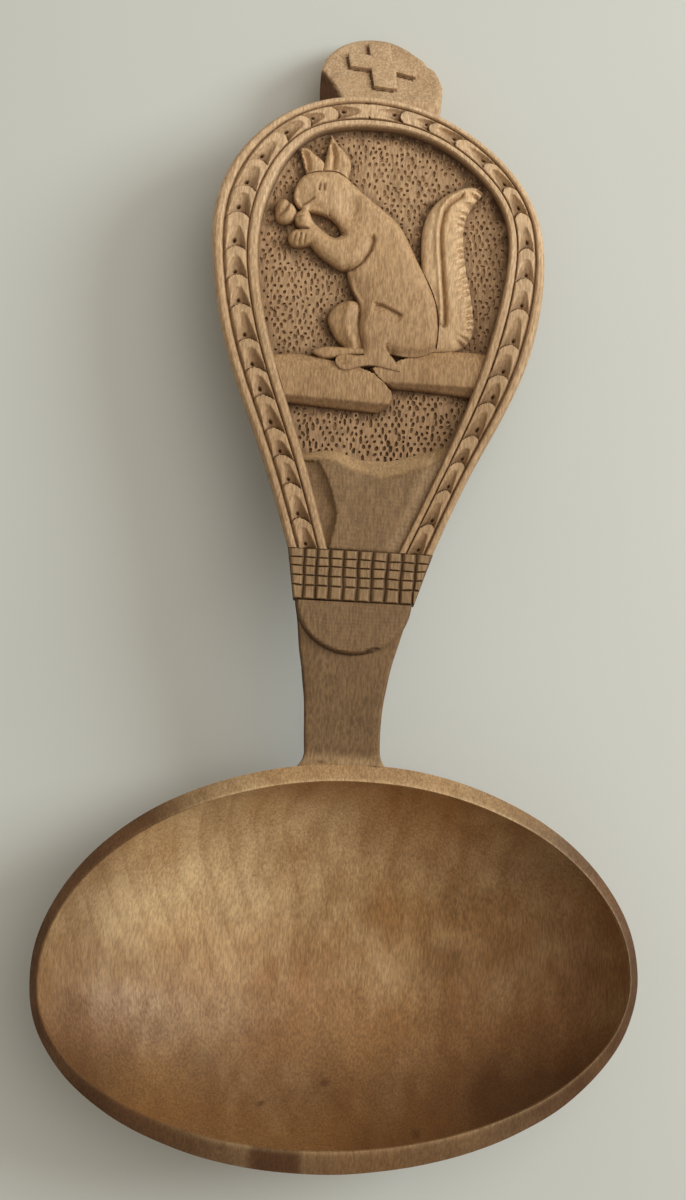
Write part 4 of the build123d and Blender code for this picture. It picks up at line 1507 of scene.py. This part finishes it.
# Swells and dips of the body: middle, reach, lift
BODY_SWELLS = (
    ((-4.6, 23.2), (4.2, 4.0), 0.55), ((-10.5, 23.6), (3.6, 2.2), 0.30),
    ((-15.8, 25.0), (2.0, 1.6), 0.2), ((-15.2, 29.4), (1.4, 1.4), 0.45),
    ((-10.5, 34.6), (3.6, 3.2), 0.45), ((-16.4, 33.6), (2.3, 2.3), -0.75),
    ((-5.2, 31.2), (2.2, 2.6), -0.85), ((1.2, 6.2), (3.2, 5.0), 0.60),
    ((9.5, 8.0), (3.6, 6.0), 0.30), ((4.0, 22.5), (4.0, 8.0), 0.30),
    ((-2.5, 14.0), (2.8, 4.0), -0.85), ((2.0, 13.0), (3.0, 2.0), -0.30),
    ((-13.4, 27.6), (1.6, 0.8), -0.7), ((-12.4, 31.4), (2.0, 1.0), -0.45),
)
# Painted shade under the forearm and on the thigh: middle, reach, how dark
BODY_PAINTED_SHADE = (((-3.2, 15.2), (1.9, 3.4), 0.30), ((3.0, 5.0), (4.5, 5.0), 0.14))
# Creases of the body: a line, its depth and its fading width on the right, and how dark it is
# painted in shade
BODY_CREASES = (
    (((-0.5, 26.4), (-0.1, 25.0), (-0.6, 22.8), (-2.1, 20.3), (-4.3, 18.5), (-6.9, 18.4)),
     1.15, 1.6, 0.55),
    (((0.2, 11.7), (2.4, 11.2), (4.6, 10.2), (6.8, 9.1)), 0.95, 1.2, 0.60),
    (((6.3, -1.0), (5.4, 0.4), (4.1, 1.8), (3.2, 3.3)), 0.95, 1.0, 0.65),
)
RUMP_UNDER = ((5.0, 1.8), (8.0, 1.5), (11.0, 1.7), (13.6, 3.2))
# Fine cuts: eye, mouth, claws of both hands and of the foot: a line, its depth and half width
BODY_CUTS = (
    (((-12.1, 36.3), (-12.2, 35.1)), 0.55, 0.26), (((-11.2, 36.2), (-11.1, 35.0)), 0.60, 0.30),
    (((-15.6, 31.8), (-14.4, 32.4), (-13.2, 33.3)), 0.60, 0.26),
    (((-16.9, 23.7), (-16.6, 25.4)), 0.50, 0.20), (((-15.8, 23.5), (-15.5, 25.6)), 0.50, 0.20),
    (((-14.7, 23.7), (-14.5, 25.4)), 0.45, 0.20), (((-16.0, 26.9), (-14.2, 26.9)), 0.90, 0.35),
    (((-16.4, 29.1), (-15.2, 29.3)), 0.35, 0.20), (((-5.9, -1.5), (-4.4, -1.2)), 0.30, 0.22),
    (((-6.3, -0.7), (-4.8, -0.4)), 0.30, 0.22),
)
NEAR_EAR_GROOVE = ((-9.4, 40.2), (-9.3, 42.6), (-9.9, 45.0))
FAR_EAR_GROOVE = ((-14.6, 39.6), (-15.0, 41.6), (-15.7, 43.2))
NUT_GAP = ((-20.2, 29.6), (-18.9, 30.6), (-18.3, 32.6))
FAR_LEG_RIDGE = ((-4.4, 11.5), (-5.2, 8.0), (-4.4, 4.6), (-3.0, 2.0))
TAIL_RIB = (
    (17.2, 36.0), (14.5, 33.8), (13.4, 30.6), (13.2, 26.3), (13.7, 21.3), (14.2, 16.5),
    (14.7, 12.0), (14.9, 8.5),
)
FUR_NICKS = 1.6


def body_surface(points, edges):
    """Height and darkness of the squirrel's body, one surface from its silhouette inwards, with
    painted shade along its edge, in its creases, under the forearm, on the thigh and under the
    rump.
    """
    place = points - (0, PERCH)
    edge = to_segments(points, *edges)[0]
    on_log = 1 - fade((place[:, 1] - 0.8) / 3.0)
    wall = 1.75 + 1.35 * on_log
    crown = 3.35 - 0.15 * on_log
    height = wall + (crown - wall) * round_over(edge, 2.5 - 1.4 * on_log)
    for middle, reach, lift in BODY_SWELLS:
        height += mound(place, middle, reach, lift) * fade(edge / 1.2)
    # Painted shade along the silhouette
    grime_and_shade = 0.30 * fade((0.45 - edge) / 0.45)
    for middle, reach, dark in BODY_PAINTED_SHADE:
        grime_and_shade += mound(place, middle, reach, dark)
    for line, depth, width, dark in BODY_CREASES:
        cut = step_cut(place, line, width)
        height -= depth * cut
        grime_and_shade += dark * np.clip(cut, 0, 1) ** 4
    # A cut under the rump, darkened as painted shade
    under = bell(gap_to(place, RUMP_UNDER), 0.8)
    height -= 0.45 * under
    grime_and_shade += 0.35 * under ** 2
    for line, depth, width in BODY_CUTS:
        cut = bell(gap_to(place, line), width)
        height -= depth * cut
        grime_and_shade += 0.9 * depth * cut
    return height + 0.06 * wander(points * (1, 0.6), 1.5, 41), np.clip(grime_and_shade, 0, 0.9)


def ear_surface(points, ring, groove):
    """Height and patina of an ear, hollowed along its groove."""
    hollow = bell(gap_to(points - (0, PERCH), groove), 0.45)
    return 1.5 + 1.0 * round_over(gap_to_edge(points, ring), 1.1) - 1.1 * hollow, 0.0


def nut_surface(points, ring):
    """Height and darkness of the nut, with the gap between it and the paw that holds it."""
    place = points - (0, PERCH)
    facet = np.clip((-18.9 - place[:, 0]) / 2.2, 0, 1)
    gap = bell(gap_to(place, NUT_GAP), 0.40)
    height = 1.2 + 1.8 * round_over(gap_to_edge(points, ring), 1.5)
    return height - 0.9 * facet - 0.9 * gap, 0.5 * gap ** 2


def far_leg_surface(points, ring):
    """Height and patina of the far leg: low behind the near one, higher where it is on the log."""
    place = points - (0, PERCH)
    edge = gap_to_edge(points, ring)
    on_log = 1 - fade((place[:, 1] - 1.6) / 1.6)
    ridge = bell(gap_to(place, FAR_LEG_RIDGE), 0.8)
    height = 1.1 + 1.4 * round_over(edge, 2.6) + 0.5 * ridge
    height -= 0.5 * fade((place[:, 0] + 3.4) / 1.2)
    return np.maximum(height, on_log * (2.75 + 0.35 * round_over(edge, 0.8))), 0.0


def tail_surface(points, ring):
    """Bushy tail: a bead along its rib, smooth flanks and nicked fur down its right edge."""
    place = points - (0, PERCH)
    away, _, side = to_line(place, smooth_line(TAIL_RIB, 0.6))
    height = 1.2 + 1.4 * round_over(gap_to_edge(points, ring), 2.0)
    height += 0.5 * bell(away + 0.35 * side, 0.42)
    height -= 1.15 * bell(away - 0.6, 0.42) * (side > 0)
    fur_step = 0.5
    off, steps, _ = to_line(place, smooth_line(TAIL[1][:-2], fur_step))
    along = steps * fur_step
    nick = np.sin(along * 2 * math.pi / FUR_NICKS + 1.8 * np.sin(along * 0.9) - off * 1.3)
    cut = fade((nick + 0.1) / 0.7) * bell(off, 1.7)
    rib_side = bell(away - 0.6, 0.35) * (side > 0)
    height += 0.09 * wander(points * (1, 0.4), 0.9, 43) - 1.2 * cut
    return height, 0.45 * cut ** 2 + 0.40 * rib_side


def log_surface(points, ring, start, end, half, crown, flat):
    """Half-sunk log: round across its axis, with a flatter cut along its lower side, which is
    painted in shade.
    """
    place = points - (0, PERCH) - start
    run = np.subtract(end, start) / np.linalg.norm(np.subtract(end, start))
    off = place[:, 1] * run[0] - place[:, 0] * run[1]
    height = crown * np.sqrt(np.clip(1 - (off / (half * 1.28)) ** 2, 0.06, 1))
    below = np.clip((-off - flat) / (half - flat), 0, 1)
    height = np.minimum(height, crown * (1 - 0.62 * below))
    height = np.minimum(height, 1.2 + crown * round_over(gap_to_edge(points, ring), 0.9))
    # Painted shade along the log's lower side
    darkening = 0.62 * fade(below / 0.25) * (1 - 0.4 * below)
    return height + 0.07 * wander(points * (1, 0.25), 1.1, 47), darkening


# How each form beside the body is carved, with the values of its own
SURFACES = {
    "near_ear": (ear_surface, NEAR_EAR_GROOVE),
    "far_ear": (ear_surface, FAR_EAR_GROOVE),
    "nut": (nut_surface,),
    "far_leg": (far_leg_surface,),
    "tail": (tail_surface,),
    "right_log": (log_surface, (5.0, -2.2), (25.0, -2.4), 4.7, 2.75, 2.1),
    "left_log": (log_surface, (-25.0, -4.8), (4.0, -6.0), 5.1, 2.95, 3.0),
}
RELIEF_STEP = 0.30
# Lowest and highest of the relief over the ground, and how far its walls go into the ground
LOWEST, HIGHEST = 0.3, 3.62
SUNK = 0.3


def relief():
    """All forms on the ground. One plan is cut up, so that neighbours meet without a seam."""
    rings = {name: outline(runs, 0.33) + (0, PERCH) for name, runs in FORMS.items()}
    outlines = list(rings.values())
    body_edges = silhouette([rings[name] for name in BODY])
    filling = fill_points(np.vstack(outlines), RELIEF_STEP, JITTER)
    keep = within(filling, FIELD) | (gap_to(filling, FIELD) < 0.8)
    keep &= within_any(filling, outlines)
    points, faces = triangulate(outlines + [FIELD], filling[keep], RELIEF_STEP)
    centres = points[faces].mean(axis=1)
    in_field = within(centres, FIELD)
    # An earlier form lies over the later ones
    owner = np.full(len(faces), "", dtype=object)
    for name in reversed(rings):
        owner[within(centres, rings[name]) & in_field] = name
    for node, forms in CARVINGS.items():
        made = Solid()
        for form in forms:
            own = faces[owner == form]
            plan = points[np.unique(own)]
            if form in BODY:
                height, darkening = body_surface(plan, body_edges)
            else:
                shape, *values = SURFACES[form]
                height, darkening = shape(plan, rings[form], *values)
            level = GROUND + np.clip(height, LOWEST, HIGHEST)
            # Painted shade darkens the forms towards the ground and down their walls
            low = np.clip((GROUND + 1.7 - level) / 1.7, 0, 1)
            grime_and_shade = np.maximum(0.45 * low, darkening)
            made.block(points, own, level, GROUND - SUNK, grime_and_shade, 0.85)
        # The tail is painted paler all over, as painted light
        worn = 0.6 if node == "squirrel_tail" else None
        made.finish(f"{node}_carved", [node], CARVED, sharp=55, worn=worn)
    return outlines


APRON_CREST = (
    (-20.0, 108.4), (-11.9, 108.6), (-9.7, 109.1), (-6.6, 109.5), (-4.2, 109.0), (-1.4, 108.0),
    (2.1, 107.7), (5.1, 107.8), (9.5, 109.0), (12.9, 110.0), (16.1, 111.1), (26.0, 112.0),
)
# Width of the bevel under the crest, across the apron
BEVEL_WIDTHS = (
    (-12.0, 1.6), (-6.7, 2.6), (-2.1, 2.9), (4.2, 4.5), (9.9, 4.0), (14.4, 3.4), (17.0, 2.2),
)
BEVEL_DROP = 2.2
LEFT_ARRIS = (
    (-9.0, 107.0), (-7.2, 103.9), (-5.7, 100.2), (-4.7, 96.3), (-4.9, 93.4), (-5.8, 89.0),
)
RIGHT_ARRIS = ((14.0, 108.0), (10.6, 99.6), (7.6, 92.0), (6.4, 89.0))
APRON_STEP = 0.34
APRON_MARKS = 0.9


def apron():
    """Plain wedge over the band, bevelled at its crest and cut to soft facets at both sides."""
    crest = smooth_line(APRON_CREST, 0.4)
    shape = np.vstack([crest, [(26.0, MEDALLION_START), (-20.0, MEDALLION_START)]])
    filling = fill_points(shape, APRON_STEP, JITTER)
    points, faces = triangulate([shape, FIELD], filling[within(filling, shape)], APRON_STEP)
    faces = inside_faces(points, inside_faces(points, faces, shape), FIELD)
    plan = points[np.unique(faces)]
    x, y = plan.T
    width = np.interp(x, *np.array(BEVEL_WIDTHS).T) + 0.25 * wander(plan, 3.0, 51)
    bevel = np.clip(1 - gap_to(plan, crest) / width, 0, 1)
    height = 3.1 - BEVEL_DROP * bevel
    gap, _, side = to_line(plan, LEFT_ARRIS)
    hollow = (side < 0) * (bevel <= 0)
    height -= hollow * 1.1 * (1 - np.exp(-gap / 1.0))
    off, _, way = to_line(plan, RIGHT_ARRIS)
    height -= 0.16 * off * (way > 0)
    ripple = np.sin(y * 2 * math.pi / APRON_MARKS + 1.8 * wander(plan, 3.0, 52))
    height += 0.07 * ripple * (bevel <= 0)
    grime_and_shade = 0.60 * hollow * np.exp(-gap / 1.3) + 0.3 * fade(MEDALLION_START + 1.0 - y)
    pale = 0.56 * fade(bevel / 0.4) + 0.08 + 0.25 * bell(off, 1.0)
    made = Solid()
    made.block(points, faces, GROUND + np.clip(height, 0.4, 3.4), GROUND - SUNK, grime_and_shade, 0.6)
    made.finish("apron_carved", ["apron_wedge"], HANDLE_IN_SHADE, sharp=50,
                worn=np.concatenate([pale, pale]))


# ---- Finial ----

FINIAL_EDGE = (
    (-12.6, -0.2), (-13.4, 5.3), (-13.3, 10.0), (-12.0, 14.5), (-10.0, 17.6), (-7.6, 19.7),
    (-5.2, 20.7), (-1.9, 21.1), (0.8, 20.6), (4.4, 18.4), (7.2, 15.6), (8.7, 13.7), (9.1, 12.7),
    (10.2, 11.8), (11.6, 8.9), (12.6, 5.1), (12.3, 1.7), (11.2, -2.6),
)
FINIAL_START_EDGE = ((10.9, -4.5), (-12.0, -4.5))
# Facets of both sides, below their highest point: the line, its slope, its side and how dark it is
# painted, the left facet in painted shade
FACETS = (
    (((-13.6, 10.6), (-10.7, 5.9), (-8.7, 1.2), (-8.2, -1.0)), 1.5, -1, 0.95),
    (((12.9, 5.6), (11.6, 1.6), (10.6, -2.6)), 0.9, 1, 0.3),
)
FACETS_END = 11
FINIAL_STEP = 0.36
CROSS_STEP = 0.35
CROSS_SEAT = -0.4
CROSS_CORNERS = np.array((
    (-7.9, 14.9), (-7.2, 10.2), (-2.7, 9.6), (-1.9, 3.7), (2.9, 3.0), (2.6, 8.9), (6.8, 7.5),
    (6.9, 10.9), (7.0, 11.6), (1.7, 12.6), (1.1, 18.3), (-3.6, 18.9), (-3.0, 14.1),
))


def finial():
    """Bent-back end: a flat sloping face, side facets, and a nose rounded underneath."""
    edge = np.vstack([smooth_line(FINIAL_EDGE, 0.45), FINIAL_START_EDGE])
    points, faces = filled(edge, FINIAL_STEP, JITTER)
    y = points[:, 1]
    tops = 0.06 * wander(points, 2.4, 61) - 0.30 * (1 - fade(gap_to_edge(points, edge) / 0.7))
    grime_and_shade = np.full(len(points), 0.18)
    for line, slope, way, dark in FACETS:
        off, _, side = to_line(points, line)
        cut = (side == way) * (y < FACETS_END)
        tops -= slope * off * cut
        grime_and_shade = np.maximum(grime_and_shade, dark * cut * fade(off / 0.4))
    # Painted shadow beside the lower left of the cross
    lee_shadow = within(points + (0.50, 0.55), CROSS_CORNERS) & ~within(points, CROSS_CORNERS)
    grime_and_shade = np.maximum(grime_and_shade, 0.95 * lee_shadow)
    shelf = (y * math.sin(FINIAL_SLOPE) + 0.1) / math.cos(FINIAL_SLOPE)
    tops = np.where(y < 0, np.minimum(tops, shelf), tops)
    used = np.unique(faces)
    turn = NOSE_ROUND * CORNER_GAP
    floor_level = -FINIAL_THICKNESS
    levels = (
        (0.0, floor_level + NOSE_ROUND), (0.1, floor_level + NOSE_ROUND * 0.75),
        (turn, floor_level + turn), (NOSE_ROUND * 0.75, floor_level + 0.1),
        (NOSE_ROUND, floor_level),
    )
    made = Solid()
    made.slab(points, faces, tops[used], levels, grime_and_shade[used])
    made.finish("finial_carved", ["finial_hook"], BORDER, lambda p: rested(on_finial(p)))


def cross():
    """Raised equal-armed cross with worn upper edges."""
    edge = outline(zip(CROSS_CORNERS, np.roll(CROSS_CORNERS, -1, axis=0)), 0.3)
    points, faces = filled(edge, CROSS_STEP, 0.04)
    wear = 0.16 * (1 - fade(gap_to_edge(points, edge) / 0.45))
    tops = CROSS_RISE - wear + 0.05 * wander(points, 1.7, 63)
    made = Solid()
    # The cross's walls darken towards its foot, as painted shade
    made.block(points, faces, tops[np.unique(faces)], CROSS_SEAT, 0.14, 0.95)
    made.finish("cross_carved", ["finial_cross"], BORDER, lambda p: laid(on_finial(p)))


# ---- Floor, light and camera ----

TABLE_HALF = 3.0
# Place, size, power and colour of each lamp; both look at the middle of the spoon
LAMPS = {
    "window": ((0.90, 0.38, 0.60), 0.50, 8.2, (0.88, 0.96, 1.0)),
    "ceiling": ((0.38, 0.36, 1.00), 0.90, 4.2, (1.0, 0.97, 0.92)),
}
LAMP_TARGET = Vector((0, 0.08, 0))
ROOM_COLOUR = (1.0, 0.94, 0.84, 1.0)
ROOM_STRENGTH = 0.36


def floor():
    """Painted table top, a hardly uneven warm white."""
    mesh = bpy.data.meshes.new("table_top")
    corners = [(x * TABLE_HALF, y * TABLE_HALF, 0) for x, y in ((-1, -1), (1, -1), (1, 1), (-1, 1))]
    mesh.from_pydata(corners, [], [(0, 1, 2, 3)])
    material, graph = empty_material("table_paint")
    place = graph.node("ShaderNodeTexCoord").outputs["Object"]
    cloud = graph.noise(place, (6, 6, 6), detail=2)
    fine = graph.noise(place, (900, 900, 900), detail=2)
    share = graph.remap(cloud, 0.3, 0.7)
    colour = graph.mix(share, linear((207, 207, 199)), linear((203, 203, 195)))
    normal = graph.bumped(fine, 0.1, 0.1 * MM)
    looks = {"Base Color": colour, "Roughness": 0.7, "Normal": normal}
    shader = graph.node("ShaderNodeBsdfPrincipled", looks)
    graph.node("ShaderNodeOutputMaterial", {"Surface": shader.outputs[0]})
    mesh.materials.append(material)
    table = shown("table_top", mesh)


def lamp(name, place, size, power, colour):
    """Round soft lamp that looks at the spoon."""
    light = bpy.data.lights.new(name, "AREA")
    light.shape = "DISK"
    light.size = size
    light.energy = power
    light.color = colour
    made = shown(name, light)
    made.location = place
    made.rotation_euler = (LAMP_TARGET - Vector(place)).to_track_quat("-Z", "Y").to_euler()


def studio():
    """Cool window light from the right, a warmer ceiling above it, and a dim even room."""
    for name, values in LAMPS.items():
        lamp(name, *values)
    world = bpy.data.worlds.new("room")
    world.use_nodes = True
    background = world.node_tree.nodes["Background"]
    background.inputs["Color"].default_value = ROOM_COLOUR
    background.inputs["Strength"].default_value = ROOM_STRENGTH
    bpy.context.scene.world = world
    camera = bpy.data.cameras.new("camera")
    camera.lens = LENS
    camera.sensor_width = SENSOR
    camera.clip_start = 0.01
    holder = shown("camera", camera)
    holder.location = CAMERA_PLACE
    holder.rotation_euler = (0.0, 0.0, CAMERA_ROLL)
    bpy.context.scene.camera = holder
    bpy.context.scene.view_settings.view_transform = "Standard"


# ---- Build ----

bowl()
neck()
tongue()
band()
plate(relief())
border()
apron()
finial()
cross()
floor()
studio()
